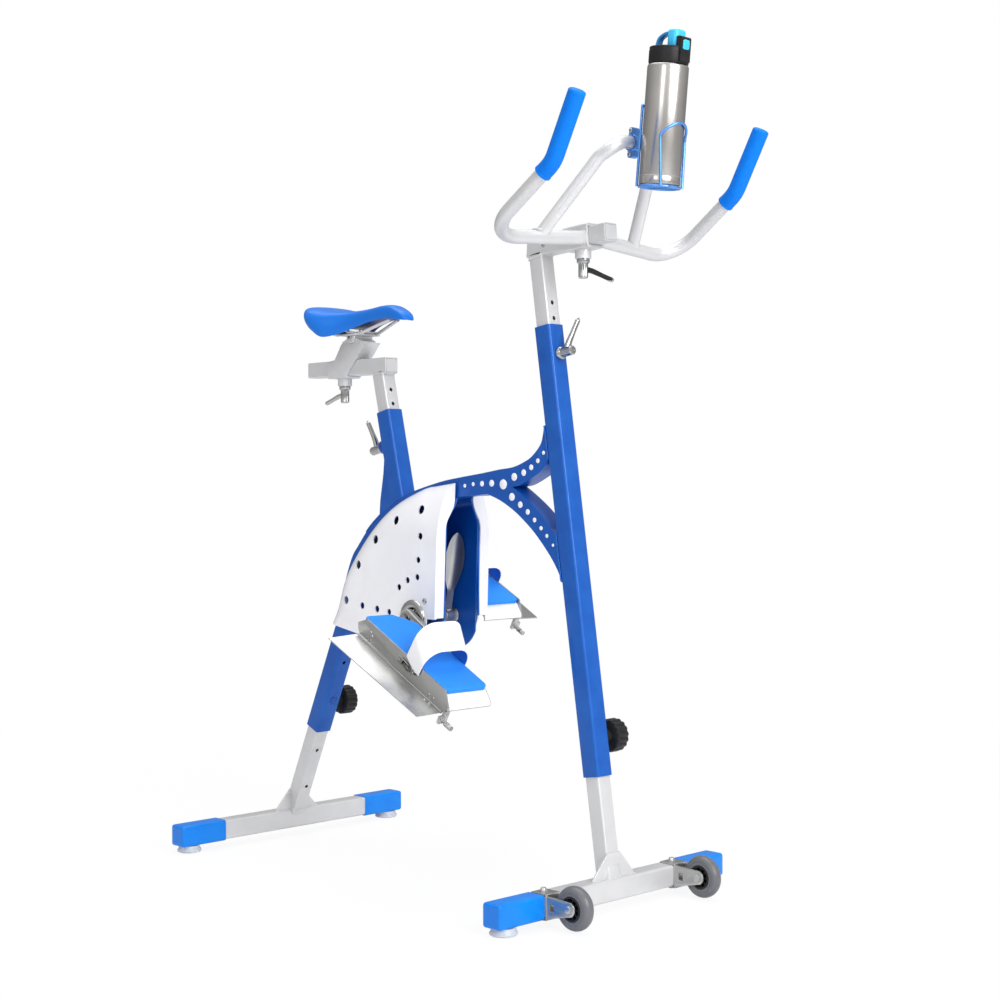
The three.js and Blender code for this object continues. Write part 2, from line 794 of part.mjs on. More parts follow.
// Outline of the arched beam with its two arms
function beamOutline() {
  const gap = seatGap / Math.cos(frontLean);
  const behindTube = (z) => [frontTubeRear(z) - gap, z];
  const topOfArm = fromCrank(upperArmShares[upperArmShares.length - 1])[1];
  const footOfArm = fromCrank(lowerArmShares[0])[1];
  const rearEnd = rearTubeEnd + seatGap;
  return outline([
    ...smoothly(upperArmShares, 10).slice(0, -1),
    behindTube(topOfArm),
    behindTube(crankZ + windowCornerShares[0] * casingRadius),
    ...smoothly(windowUpperShares, 8).reverse(),
    ...smoothly(windowLowerShares, 8).reverse().slice(1),
    behindTube(crankZ + windowCornerShares[1] * casingRadius),
    behindTube(footOfArm),
    ...smoothly(lowerArmShares, 12).slice(1),
    ...smoothly(beamInnerShares, 16).slice(0, -1),
    onAxis(rearAxis, rearLean, rearEnd, tubeSize / 2),
    onAxis(rearAxis, rearLean, rearEnd, -tubeSize / 2),
    ...smoothly(beamOuterShares, 22).slice(0, -1).reverse(),
  ]);
}

// Arched beam with its window and a round recess on both sides
function beamGeometry() {
  const half = tubeSize / 2;
  const [x, z] = fromCrank(bigHoleShares);
  const tools = [-1, 1].map((s) => {
    const inner = s * (half - windowDepth);
    const drill = rodAcross(bigHoleShare * casingRadius, inner, s * (half + windowDepth), turnedSides);
    return drill.translate(x, 0, z);
  });
  return cut(slab(beamOutline(), -half, half), ...tools);
}

// Seat tube with its flared foot on the beam, the lever's boss and the bore for the post
function seatTubeGeometry() {
  const half = tubeSize / 2;
  const body = squareBar(tubeSize, tubeCorner, -seatTubeReach, 0);
  const flare = slab(outline([
    [0, -flareTop], [-half, -flareTop], [-half - flareWidth / 3, -(flareTop + flareFoot) / 2],
    [-half - flareWidth, -flareFoot], [half, -flareFoot], [half, -flareTop - half],
  ]), -half, half);
  const boss = rod(bossRadius, 0, half + bossHeight).rotateY(-Math.PI / 2)
    .translate(0, 0, -seatLeverDepth);
  const welded = join(body, flare, boss).rotateY(-seatLean).translate(seatTubeX, 0, seatTubeZ);
  const bore = squareBar(postSize + 2 * slideGap, postCorner, -seatBoreDepth, tubeWall);
  const screwHole = rod(boreOf(leverScrew), 0, half + 2 * bossHeight).rotateY(-Math.PI / 2)
    .translate(0, 0, -seatLeverDepth);
  const tools = [bore, screwHole].map((tool) => {
    return tool.rotateY(-seatLean).translate(seatTubeX, 0, seatTubeZ);
  });
  const edge = smoothly(beamOuterShares, 22, seatGap);
  const below = [[edge[edge.length - 1][0], crankZ], [edge[0][0], crankZ]];
  const beamTool = slab(outline([...edge, ...below]), -tubeSize, tubeSize);
  return cut(welded, ...tools, beamTool);
}

// Rear tube: knob hole on its left, index hole and plug hole on its front face
function rearTubeGeometry() {
  const length = rearTubeEnd - rearTubeStart;
  const body = squareBar(tubeSize, tubeCorner, rearTubeStart, rearTubeEnd);
  const bore = squareBar(
    postSize + 2 * slideGap, postCorner, rearTubeStart - tubeWall, rearTubeEnd - length / 6,
  );
  const knobHole = rod(boreOf(screwRadius), 0, tubeSize).rotateX(-Math.PI / 2)
    .translate(0, 0, rearKnobHeight);
  const face = (radius, along) => {
    return rod(radius, 0, tubeSize).rotateY(Math.PI / 2).translate(0, 0, along);
  };
  const pinHole = face(plugRadius, rearHoleStart + 2.4 * rearHolePitch);
  const indexHoleAt = face(indexHole, rearHoleStart + 3.4 * rearHolePitch);
  return cut(body, bore, knobHole, pinHole, indexHoleAt);
}

// One dish of the casing as a closed solid: rim ring at one depth, flat face at another
function dishSolid(rim, face, side, rimDepth, faceDepth, rings) {
  const skirt = crankZ - casingRadius * 0.7;
  const ahead = crankX + casingRadius * 0.6;
  const turned = Array.from({ length: rings + 1 }, (_, k) => {
    const angle = (Math.PI / 2) * (k / rings);
    const depth = rimDepth + (faceDepth - rimDepth) * Math.sin(angle);
    const points = rim.map(([x, z], i) => {
      const blend = Math.cos(angle);
      const px = face[i][0] + (x - face[i][0]) * blend;
      const pz = face[i][1] + (z - face[i][1]) * blend;
      return new THREE.Vector3(px, side * depth, pz);
    });
    const last = points[points.length - 1];
    points.push(new THREE.Vector3(last.x, side * depth, skirt));
    points.push(new THREE.Vector3(ahead, side * depth, skirt));
    points.push(new THREE.Vector3(ahead, side * depth, points[0].z));
    return points;
  });
  return loft(turned, (p) => new THREE.Vector2(p.x, p.z));
}

// Everything in front of the casing's leaning front plane, moved back by an inset
function aheadOfCasing(inset) {
  const at = (z) => casingFrontX - inset + (z - crankZ - casingRadius / 2) * Math.tan(casingFrontLean);
  const low = crankZ - casingRadius;
  const high = crankZ + 2 * casingRadius;
  return slab(outline([[at(low), low], [0, low], [0, high], [at(high), high]]), -panInner, panInner);
}

// Everything under the casing's lower edge: round the crank, then straight to the rear
function underCasing(radius) {
  const steps = 10;
  const end = -Math.PI / 2 - skirtRise;
  const arc = Array.from({ length: steps + 1 }, (_, i) => {
    const angle = (end * i) / steps;
    return [crankX + radius * Math.cos(angle), crankZ + radius * Math.sin(angle)];
  });
  const reach = 2 * casingRadius;
  const [x, z] = arc[steps];
  const rear = [x - reach * Math.cos(skirtRise), z + reach * Math.sin(skirtRise)];
  const shape = outline([
    [0, crankZ], ...arc, rear, [rear[0], crankZ - reach], [0, crankZ - reach],
  ]);
  return slab(shape, -panInner, panInner);
}

// White cover: domed skin with a front flange, vent holes and a hole for the crank
function coverGeometry(side) {
  const rim = smoothly(rimShares, coverSteps);
  const face = smoothly(faceShares, coverSteps);
  const innerRim = smoothly(rimShares, coverSteps, -casingWall);
  const innerFace = smoothly(faceShares, coverSteps, -casingWall);
  const rimDepth = tubeSize / 2 + seatGap;
  const outer = dishSolid(rim, face, side, rimDepth, casingFace, domeRings);
  const cavity = dishSolid(
    innerRim, innerFace, side, rimDepth - casingWall, casingFace - casingWall, domeRings,
  );
  const shoulder = crankZ + openingShoulder;
  const opening = block(
    [crankX, -openingHalf, 0], [0, openingHalf, shoulder],
  );
  const neck = block([crankX, -openingNeck, 0], [0, openingNeck, crankZ + 2 * casingRadius]);
  const slope = plate(outline([
    [-openingHalf, shoulder], [openingHalf, shoulder],
    [openingNeck, shoulder + openingSlope], [-openingNeck, shoulder + openingSlope],
  ]), 0, -crankX).rotateX(Math.PI / 2).rotateZ(Math.PI / 2).translate(crankX, 0, 0);
  const holes = coverHoleShares.map(([across, up, radius]) => {
    const [x, z] = fromCrank([across, up]);
    const drill = rodAcross(radius * casingRadius, side * tubeSize, side * panInner, hexSides);
    return drill.translate(x, 0, z);
  });
  const hub = rodAcross(cupSleeve + seatGap, side * tubeSize, side * panInner, largeSides)
    .translate(crankX, 0, crankZ);
  const hollow = cut(cavity, aheadOfCasing(casingWall));
  const ahead = aheadOfCasing(0);
  return cut(outer, ahead, hollow, underCasing(skirtRadius), opening, neck, slope, ...holes, hub);
}

// Blue inner shell between the beam and the blades
function shellGeometry(side) {
  const shrink = casingRadius * (shellShare - 1);
  const wall = casingWall;
  const rimDepth = tubeSize / 2 + seatGap;
  const rim = (inset) => smoothly(rimShares, coverSteps, shrink - inset);
  const face = (inset) => rim(inset).map(([x, z]) => {
    return [crankX + (x - crankX) * shellFaceShare, crankZ + (z - crankZ) * shellFaceShare];
  });
  const outer = dishSolid(rim(0), face(0), side, rimDepth, shellFace, 3);
  const cavity = dishSolid(rim(wall), face(wall), side, rimDepth - wall, shellFace - wall, 3);
  const shaftHole = rodAcross(boreOf(shaftRadius), side * wall, side * panInner)
    .translate(crankX, 0, crankZ);
  const front = aheadOfCasing(wall + seatGap);
  return cut(outer, front, cavity, underCasing(skirtRadius - wall), shaftHole);
}

// Chromed cup that closes the cover round the crank shaft
function hubCupGeometry(side) {
  const bore = boreOf(shaftRadius, turnedSides);
  const face = casingFace + seatGap;
  const inner = shellFace + seatGap;
  const flat = lathe([
    [bore, inner], [cupSleeve, inner], [cupSleeve, face], [cupRadius, face],
    [cupRadius, face + casingWall / 2], [cupRadius * 0.9, cupFlange], [cupRadius * 0.62, cupFlange],
    [cupRadius * 0.52, face], [bore, face], [bore, inner],
  ]);
  return flat.rotateX(side > 0 ? -Math.PI / 2 : Math.PI / 2).translate(crankX, 0, crankZ);
}

// One spoon-shaped blade, standing up from the shaft: a dished oval on a tapering stem
function spoonGeometry() {
  const levels = 6;
  const rings = Array.from({ length: levels + 1 }, (_, k) => {
    const share = k / levels;
    const height = shaftRadius / 2 + (bladeTip - shaftRadius / 2) * share;
    const reach = (share - bladeSwellStartShare) / (1 - bladeSwellStartShare);
    const swell = Math.sin(Math.PI * Math.min(1, Math.max(0, reach)));
    const half = bladeBreadth * (bladeRootShare + bladeSwellShare * swell);
    const columns = 4;
    const row = (face) => Array.from({ length: columns + 1 }, (_, i) => {
      const across = half * ((2 * i) / columns - 1);
      const dish = bladeCup * swell * (1 - (across / half) ** 2);
      return new THREE.Vector3(across, dish + face * bladeThickness, height);
    });
    return [...row(0), ...row(1).reverse()];
  });
  return loft(rings, (p) => new THREE.Vector2(p.x, p.y)).rotateZ(bladeTwist);
}

// Shaft through the casing with its two blades
function impellerGeometry() {
  const shaft = rodAcross(shaftRadius, -shaftHalf, shaftHalf);
  const up = spoonGeometry().translate(0, bladeOffset, 0).rotateY(bladeLean);
  const down = spoonGeometry().rotateZ(Math.PI).translate(0, -bladeOffset, 0)
    .rotateY(bladeLean + Math.PI);
  const seals = [-1, 1].map((s) => {
    const end = shellFace - casingWall - washerGap;
    return rodAcross(shaftRadius * 1.36, s * (end - casingWall), s * end);
  });
  return join(shaft, up, down, ...seals);
}

// Crank arm with the pedal's pin, from the crank axis out along +x
function crankArmGeometry(side) {
  const lean = Math.asin((armHub - armEnd) / crankLength);
  const shape = new THREE.Shape();
  shape.absarc(0, 0, armHub, Math.PI / 2 - lean, 1.5 * Math.PI + lean);
  shape.absarc(crankLength, 0, armEnd, -Math.PI / 2 + lean, Math.PI / 2 - lean);
  const arm = slab(shape, side * armInner, side * armOuter, 6);
  const pin = rodAcross(pinRadius, side * (armInner + armOuter) / 2, side * pinEnd);
  const washer = rodAcross(pinRadius * 1.5, side * armOuter, side * (strapInner - washerGap));
  const body = join(arm, pin.translate(crankLength, 0, 0), washer.translate(crankLength, 0, 0));
  const bore = rodAcross(boreOf(shaftRadius), side * armInner / 2, side * pinEnd);
  return cut(body, bore);
}

// Pedal's metal pan: foot plate, side wall, toe plate, pin housing and the plunger's bracket
function panGeometry(side) {
  const floor = panTop - panSheet;
  const sole = slab(outline([
    [panBack, floor], [panFront, floor], [panFront, panTop], [panBack, panTop],
  ]), side * panInner, side * wallOuter);
  const onPan = ([s, h]) => [s * panHalf, panTop + h * panHalf];
  const wall = slab(outline(wallShares.map(onPan)), side * panOuter, side * wallOuter);
  const toe = toeShares.map(onPan);
  const toeUnder = toe.map(([s, h]) => [s - panSheet / 2, h - panSheet]).reverse();
  const lip = slab(outline([
    [panFront - panSheet, panTop], ...toe, ...toeUnder, [panFront - panSheet, floor],
  ]), side * panInner, side * wallOuter);
  const flange = slab(outline([
    [panBack + foamChamfer, panTop - lipDrop], [panFront - lipDrop, panTop - lipDrop],
    [panFront, panTop], [panBack + foamChamfer, panTop],
  ]), side * panInner, side * (panInner + panSheet));
  const housing = rodAcross(pinHousing, side * panInner, side * (pinEnd + tubeWall));
  const webs = slab(outline([
    [-2 * pinHousing, floor], [-pinHousing, -pinHousing / 3], [pinHousing, -pinHousing / 3],
    [2 * pinHousing, floor], [2 * pinHousing, panTop], [-2 * pinHousing, panTop],
  ]), side * (panInner + tubeSize / 2), side * (panInner + tubeSize));
  const bracketEnd = bracketStart + bracketThickness;
  const behindWall = side * (panOuter - 2 * plungerKnob);
  const outward = side * (panOuter + 2 * plungerKnob);
  const bracket = block(
    [bracketStart, Math.min(behindWall, outward), plungerHeight - plungerKnob],
    [bracketEnd, Math.max(behindWall, outward), plungerHeight + 2 * plungerKnob],
  );
  const corner = block(
    [bracketStart, Math.min(behindWall, side * wallOuter), plungerHeight],
    [bracketEnd, Math.max(behindWall, side * wallOuter), -lipDrop],
  );
  const body = join(sole, wall, lip, flange, housing, webs, bracket, corner);
  const plungerHole = rod(boreOf(plungerPin), bracketStart - tubeSize, bracketStart + tubeSize)
    .rotateY(Math.PI / 2).translate(0, side * panOuter, plungerHeight);
  const pinBore = rodAcross(boreOf(pinRadius), side * tubeSize, side * (pinEnd + washerGap));
  const wallHoles = wallHoleShares.map((share) => {
    const [x, z] = onPan(share);
    return rodAcross(tubeWall, side * pinEnd, side * finOuter, hexSides).translate(x, 0, z);
  });
  const chamfer = slab(outline([
    [panBack - panSheet, floor - panSheet], [panBack - panSheet, panTop + panSheet],
    [panBack, panTop + panSheet], [panBack, floor - panSheet],
  ]), side * panInner, side * panOuter);
  return cut(body, plungerHole, pinBore, chamfer, ...wallHoles);
}

// Foam pad on the pan, its rear inner corner cut off
function foamGeometry(side) {
  const inner = panInner + seatGap;
  const outer = panOuter - seatGap;
  const corner = foamHeight;
  const shape = new THREE.Shape();
  shape.moveTo(panBack, inner + foamChamfer);
  shape.lineTo(panBack + foamChamfer, inner);
  shape.lineTo(panFront - corner, inner);
  shape.absarc(panFront - corner, inner + corner, corner, -Math.PI / 2, 0);
  shape.lineTo(panFront, outer - corner);
  shape.absarc(panFront - corner, outer - corner, corner, 0, Math.PI / 2);
  shape.lineTo(panBack + corner, outer);
  shape.absarc(panBack + corner, outer - corner, corner, Math.PI / 2, Math.PI);
  const round = foamHeight / 5;
  const options = {
    depth: foamHeight - 2 * round, curveSegments: 3, bevelSize: round, bevelThickness: round,
    bevelOffset: -round, bevelSegments: 1,
  };
  const pad = new THREE.ExtrudeGeometry(shape, options).translate(0, 0, panTop + seatGap + round);
  return side > 0 ? pad : pad.scale(1, -1, 1);
}

// Strap over the foot: an arch across the pedal, pulled along a slanting band
function strapGeometry(side) {
  const across = strapOuter - strapInner;
  const shape = new THREE.Shape();
  const inside = strapCorner - strapSheet;
  shape.moveTo(0, 0);
  shape.lineTo(0, strapRise - strapCorner);
  shape.absarc(strapCorner, strapRise - strapCorner, strapCorner, Math.PI, Math.PI / 2, true);
  shape.lineTo(across - strapCorner, strapRise);
  shape.absarc(across - strapCorner, strapRise - strapCorner, strapCorner, Math.PI / 2, 0, true);
  shape.lineTo(across, 0);
  shape.lineTo(across - strapSheet, 0);
  shape.lineTo(across - strapSheet, strapRise - strapCorner);
  shape.absarc(across - strapCorner, strapRise - strapCorner, inside, 0, Math.PI / 2);
  shape.lineTo(strapCorner, strapRise - strapSheet);
  shape.absarc(strapCorner, strapRise - strapCorner, inside, Math.PI / 2, Math.PI);
  shape.lineTo(strapSheet, 0);
  const arch = plate(shape, 0, strapBand, 4);
  const outwards = new THREE.Vector3(0, side, 0);
  const rise = new THREE.Vector3(Math.sin(strapLean), 0, Math.cos(strapLean));
  const band = new THREE.Vector3(Math.cos(strapSlant), 0, -Math.sin(strapSlant));
  const slant = new THREE.Matrix4().makeBasis(outwards, rise, band);
  slant.setPosition(strapFoot, side * strapInner, panTop + foamHeight);
  const foot = slab(outline([
    [strapFoot - strapBand, panTop + foamHeight], [strapFoot, panTop + foamHeight],
    [strapFoot + strapBand / 2, panTop - foamHeight / 2],
    [strapFoot + 2 * strapBand, panTop - foamHeight / 2],
    [strapFoot + 2 * strapBand, -strapBand], [strapFoot - strapBand, -strapBand],
  ]), side * strapInner / 2, side * finOuter);
  return cut(facingOut(arch.applyMatrix4(slant)), foot);
}

// Fin that widens the pedal, on a hinge along the side wall's lower edge
function finGeometry(side) {
  const width = finOuter - panOuter;
  const shape = outline([
    [finBack, 0], [finBack + finTaper / 2, side * width],
    [finFront + finBarrel, side * (width - finTaper)], [finFront, 0],
  ]);
  const leaf = plate(shape, -finThickness / 2, finThickness / 2);
  const barrel = rod(finBarrel, finBack, finFront, hexSides).rotateY(Math.PI / 2);
  return join(leaf, barrel);
}

// Sprung plunger in front of the fin's hinge
function plungerGeometry() {
  const knobStart = plungerKnobStart;
  const tip = finFront + finBarrel / 2;
  const body = lathe([
    [0, tip], [plungerPin, tip], [plungerPin, knobStart], [plungerKnob, knobStart],
    [plungerKnob, knobStart + plungerKnobLength - plungerPin / 2],
    [plungerKnob - plungerPin / 3, knobStart + plungerKnobLength], [0, knobStart + plungerKnobLength],
  ], hexSides);
  return body.rotateY(Math.PI / 2);
}

// Knurled clamp knob with its screw, along +y
function knobGeometry() {
  const points = Array.from({ length: 2 * knobRidges }, (_, i) => {
    const radius = i % 2 ? knobRadius : knobRadius - knobGroove;
    const angle = (Math.PI * i) / knobRidges;
    return [radius * Math.cos(angle), radius * Math.sin(angle)];
  });
  const grip = slab(outline(points), knobInner, knobOuter);
  const stem = rodAcross(knobStem, tubeSize / 2 + seatGap, knobInner + tubeWall);
  const screw = rodAcross(screwRadius, postSize / 2 + slideGap + seatGap, knobInner);
  const hollow = rodAcross(knobDish, knobOuter - tubeWall, knobOuter + tubeWall, turnedSides);
  return cut(join(grip, stem, screw), hollow);
}

// Ratchet lever along +z from the face it clamps, its arm towards +x
function leverGeometry(screwDepth) {
  const hub = lathe([
    [0, -screwDepth], [leverScrew, -screwDepth], [leverScrew, seatGap], [leverFoot, seatGap],
    ...hubShares.map(([r, z]) => [r * leverHub, z * leverHeight]), [0, leverHeight],
  ], roundSides);
  const root = [0, 0, leverHeight / 2];
  const knee = [leverReach / 3, 0, leverHeight / 2 + leverKnee];
  const end = [leverReach, 0, leverHeight / 2 + leverRise];
  const arm = bentBar([root, knee, end], leverRoot, leverReach / 3, 1, hexSides);
  const tip = new THREE.SphereGeometry(leverTip, 7, 4).translate(...end);
  return join(hub, arm, tip);
}

// Seat post with the slide tube welded across its top
function seatPostGeometry() {
  const half = postSize / 2;
  const drop = Math.cos(seatLean) * seatPostDrop;
  const post = squareBar(postSize, postCorner, -seatPostDrop, 0);
  const slideLength = seatSlideFront - seatSlideRear;
  const topAlong = (seatSlideZ - seatTubeZ) / Math.cos(seatLean);
  const slide = squareBar(postSize, postCorner, 0, slideLength).rotateY(Math.PI / 2)
    .translate(seatSlideRear, 0, seatSlideZ);
  const lowered = post.translate(0, 0, topAlong).rotateY(-seatLean)
    .translate(seatTubeX, 0, seatTubeZ);
  const inner = postSize - 2 * postWall;
  const slideBore = squareBar(inner, postCorner / 2, -postWall, slideLength - postWall)
    .rotateY(Math.PI / 2).translate(seatSlideRear, 0, seatSlideZ);
  const postBore = squareBar(inner, postCorner / 2, -drop - half, -half * 1.5)
    .translate(0, 0, topAlong).rotateY(-seatLean).translate(seatTubeX, 0, seatTubeZ);
  const holes = [0, 1].map((step) => rod(indexHole, 0, postSize, 8).rotateY(Math.PI / 2)
    .translate(0, 0, postHoleStart + step * postHolePitch).rotateY(-seatLean)
    .translate(seatTubeX, 0, seatTubeZ));
  return cut(join(lowered, slide), slideBore, postBore, ...holes);
}

// Carriage that slides under the saddle: sleeve, slanting neck and the lever's boss
function carriageGeometry() {
  const foot = seatSlideZ - carriageHalf;
  const side = carriageShares.map(([along, up]) => {
    return [carriageFrontX + along * carriageLength, foot + up * carriageHeight];
  });
  const boss = rod(bossRadius, foot - bossHeight, foot + tubeWall)
    .translate(carriageBossX, 0, 0);
  const body = join(slab(outline(side), -carriageHalf, carriageHalf), boss);
  const bore = squareBar(postSize + 2 * slideGap, postCorner, seatSlideRear, seatSlideFront)
    .rotateY(Math.PI / 2).translate(0, 0, seatSlideZ);
  const screwHole = rod(boreOf(leverScrew), foot - 2 * bossHeight, seatSlideZ)
    .translate(carriageBossX, 0, 0);
  const cradleHole = (cradleRadius + seatGap) / Math.cos(Math.PI / roundSides);
  const cradle = rodAcross(cradleHole, -tubeSize, tubeSize).translate(cradleX, 0, cradleZ);
  return cut(body, bore, screwHole, cradle);
}

// Saddle rails with the clamp that rocks in the carriage, about the clamp's axis
function railsGeometry() {
  const barrel = rodAcross(cradleRadius, -railSpread - railRadius, railSpread + railRadius);
  const plates = block(
    [-clampHalf, -clampWidth, 2 * railRadius - clampThickness / 2],
    [clampHalf, clampWidth, 2 * railRadius + clampThickness / 2],
  );
  const rails = [-1, 1].map((s) => bentBar([
    [-railBack, s * (railSpread + clampThickness), railBackRise],
    [-clampHalf - railSpread, s * railSpread, 2 * railRadius],
    [clampHalf + railRadius, s * railSpread, 2 * railRadius],
    [railReach, s * railSpread / 2, railRise],
  ], railRadius, clampHalf, 2, 7));
  return join(barrel, plates, ...rails);
}

// Saddle, about the clamp's axis: a crowned top, skirts at the sides and a hollow underneath
function saddleGeometry() {
  const rings = saddleShares.map(([along, wide, top, edge, hollow]) => {
    const x = saddleFront - along * saddleLength - cradleX;
    const floor = saddleFloor - cradleZ;
    const edgeZ = floor + edge * saddleHeight;
    const topZ = floor + top * saddleHeight;
    const hollowZ = floor + hollow * saddleHeight;
    const half = saddleRingShares.map(([w, h]) => {
      return [w * wide * saddleHalf, edgeZ + h * (topZ - edgeZ)];
    });
    const [lipShare, hollowShare] = saddleHollowShares;
    half.push([lipShare * wide * saddleHalf, (edgeZ * 2 + hollowZ) / 3]);
    half.push([hollowShare * wide * saddleHalf, hollowZ]);
    const left = half.map(([y, z]) => new THREE.Vector3(x, y, z));
    const right = half.slice(1).reverse().map(([y, z]) => new THREE.Vector3(x, -y, z));
    return [...left, ...right];
  });
  return loft(rings, (p) => new THREE.Vector2(p.y, p.z));
}

// Handlebar post on the front tube's axis with the slide tube across its top
function barPostGeometry() {
  const post = squareBar(postSize, postCorner, barPostStart, barPostTop + postSize / 2)
    .rotateY(-frontLean).translate(frontTubeX, 0, frontTubeZ);
  const slideLength = barSlideFront - barSlideRear;
  const slide = squareBar(postSize, postCorner, 0, slideLength);
  const inner = postSize - 2 * postWall;
  const slideBore = squareBar(inner, postCorner / 2, postWall, slideLength - postWall);
  const put = (geometry) => geometry.rotateY(-Math.PI / 2 - barSlideLean)
    .translate(barSlideFront, 0, barSlideZ);
  const postBore = squareBar(inner, postCorner / 2, barPostStart - postWall, barPostTop - postSize / 2)
    .rotateY(-frontLean).translate(frontTubeX, 0, frontTubeZ);
  const firstHole = frontTubeLength + postHoleStart;
  const holes = [0, 1].map((step) => rod(indexHole, 0, postSize, 8).rotateY(Math.PI / 2)
    .translate(0, 0, firstHole + step * postHolePitch).rotateY(-frontLean)
    .translate(frontTubeX, 0, frontTubeZ));
  const drain = rod(indexHole, 0, postSize).rotateY(-Math.PI / 2).translate(0, 0, slideLength / 2);
  return cut(join(post, put(slide)), put(slideBore), postBore, ...holes, put(drain));
}

// Where the slide tube's centre line is, as z for a place along x
function barSlideAt(x) {
  return barSlideZ - (barSlideFront - x) * Math.tan(barSlideLean);
}

// Sleeve on the slide tube with the lever's boss
function sleeveGeometry() {
  const length = sleeveFront - sleeveRear;
  const middle = (sleeveFront + sleeveRear) / 2;
  const body = squareBar(2 * sleeveHalf, tubeWall, -length / 2, length / 2);
  const bore = squareBar(postSize + 2 * slideGap, postCorner, -length, length);
  const put = (geometry) => geometry.rotateY(-Math.PI / 2 - barSlideLean)
    .translate(middle, 0, barSlideAt(middle));
  const centre = barSlideAt(sleeveBossX);
  const boss = rod(bossRadius, centre - sleeveHalf - bossHeight, centre - sleeveHalf + tubeWall);
  const screwHole = rod(boreOf(leverScrew), centre - 3 * sleeveHalf, centre);
  return cut(
    join(put(body), boss.translate(sleeveBossX, 0, 0)),
    put(bore), screwHole.translate(sleeveBossX, 0, 0),
  );
}

// A handlebar point from its shares, on one side
function barPoint([forward, out, up], side) {
  return [handleX + forward * hornReach, side * out * hornReach, handleZ + up * hornReach];
}

// Handlebar: cross bar in two halves, horns and the loop that joins them
function handlebarGeometry() {
  const horns = [-1, 1].map((side) => {
    const points = hornShares.map((share) => barPoint(share, side));
    return bentBar(points, handleRadius, hornBend, 3, roundSides);
  });
  const left = loopShares.map((share) => barPoint(share, 1));
  const right = loopShares.map((share) => barPoint(share, -1)).reverse();
  const loop = bentBar([...left, ...right], loopRadius, loopBend, 2, 8);
  const vents = [-1, 1].map((side) => {
    const [x, y, z] = barPoint(loopShares[0], side);
    return rod(ventRadius, 0, 2 * loopRadius, 8).rotateY(Math.PI / 2)
      .translate(x + loopRadius / 2, y, z + loopRadius);
  });
  const keepOff = block(
    [handleX - tubeSize, -sleeveHalf - seatGap, handleZ - tubeSize],
    [handleX + tubeSize, sleeveHalf + seatGap, handleZ + tubeSize],
  );
  return cut(join(...horns, loop), keepOff, ...vents);
}

// Grip over the horn's bend, closed at the end
function gripGeometry(side) {
  const corners = hornShares.slice(1).map((share) => new THREE.Vector3(...barPoint(share, side)));
  const [from, corner, to] = corners;
  const incoming = corner.clone().sub(from).normalize();
  const outgoing = to.clone().sub(corner).normalize();
  const along = (lead, tail) => [
    corner.clone().addScaledVector(incoming, -lead), corner, to.clone().addScaledVector(outgoing, tail),
  ].map((p) => p.toArray());
  const skin = bentBar(along(gripLead, gripWall + seatGap), gripRadius, hornBend, 3, roundSides);
  const bore = (handleRadius + seatGap) / Math.cos(Math.PI / roundSides);
  const hollow = bentBar(along(gripLead + gripWall, seatGap), bore, hornBend, 3, roundSides);
  return cut(skin, hollow);
}

// Cage wires round the bottle with its foot ring, in the bottle's own frame
function cageWires(radius, under) {
  const spot = (angle, z) => [radius * Math.cos(angle), radius * Math.sin(angle), z];
  const band = (from, to, low, high) => {
    const steps = 6;
    return Array.from({ length: steps + 1 }, (_, i) => {
      const rise = Math.sin((Math.PI * i) / steps);
      return spot(from + ((to - from) * i) / steps, low + (high - low) * rise);
    });
  };
  const wire = (points) => bentBar(points, wireRadius, wireBend, 1, hexSides);
  const front = wire([
    spot(-cageWire, under), ...band(-cageSwell, cageSwell, cageShoulder, cageArch),
    spot(cageWire, under),
  ]);
  const rear = band(cageRear, 2 * Math.PI - cageRear, cageTop, cageTop);
  const back = wire([spot(cageRear, under), ...rear, spot(-cageRear, under)]);
  const inner = bottleRadius - 2 * wireRadius;
  const ring = lathe([
    [inner, under - wireRadius], [radius + wireRadius, under - wireRadius],
    [radius + wireRadius, under + wireRadius], [inner, under + wireRadius],
    [inner, under - wireRadius],
  ]);
  return join(front, back, ring);
}

// The cage's spine behind the bottle and the clamp that holds the handlebar's loop
function cageGeometry([x, z]) {
  const radius = bottleRadius + cageGap + wireRadius;
  const under = -cageGap - wireRadius;
  const spine = block(
    [-radius - 2 * wireRadius, -3 * wireRadius, under], [-radius, 3 * wireRadius, cageTop],
  );
  const half = loopRadius + 2 * wireRadius;
  const clamp = block([x - half, -half, z - half], [-radius, half, z + half]);
  const loopHole = (loopRadius + seatGap) / Math.cos(Math.PI / turnedSides);
  const loopRoom = rodAcross(loopHole, -tubeSize, tubeSize, turnedSides).translate(x, 0, z);
  const bottleRoom = rod(bottleRadius + cageGap / 2, -wireRadius, bottleHeight, turnedSides);
  return cut(join(cageWires(radius, under), spine, clamp), loopRoom, bottleRoom);
}

// Steel bottle with a shallow groove round its foot band
function bottleGeometry() {
  const side = bottleShares.map(([r, z]) => [r * bottleRadius, z * bottleHeight]);
  const top = bottleHeight - seatGap;
  return lathe([[0, 0], ...side, [bottleRadius - bottleShoulder / 3, top], [0, top]], largeSides);
}

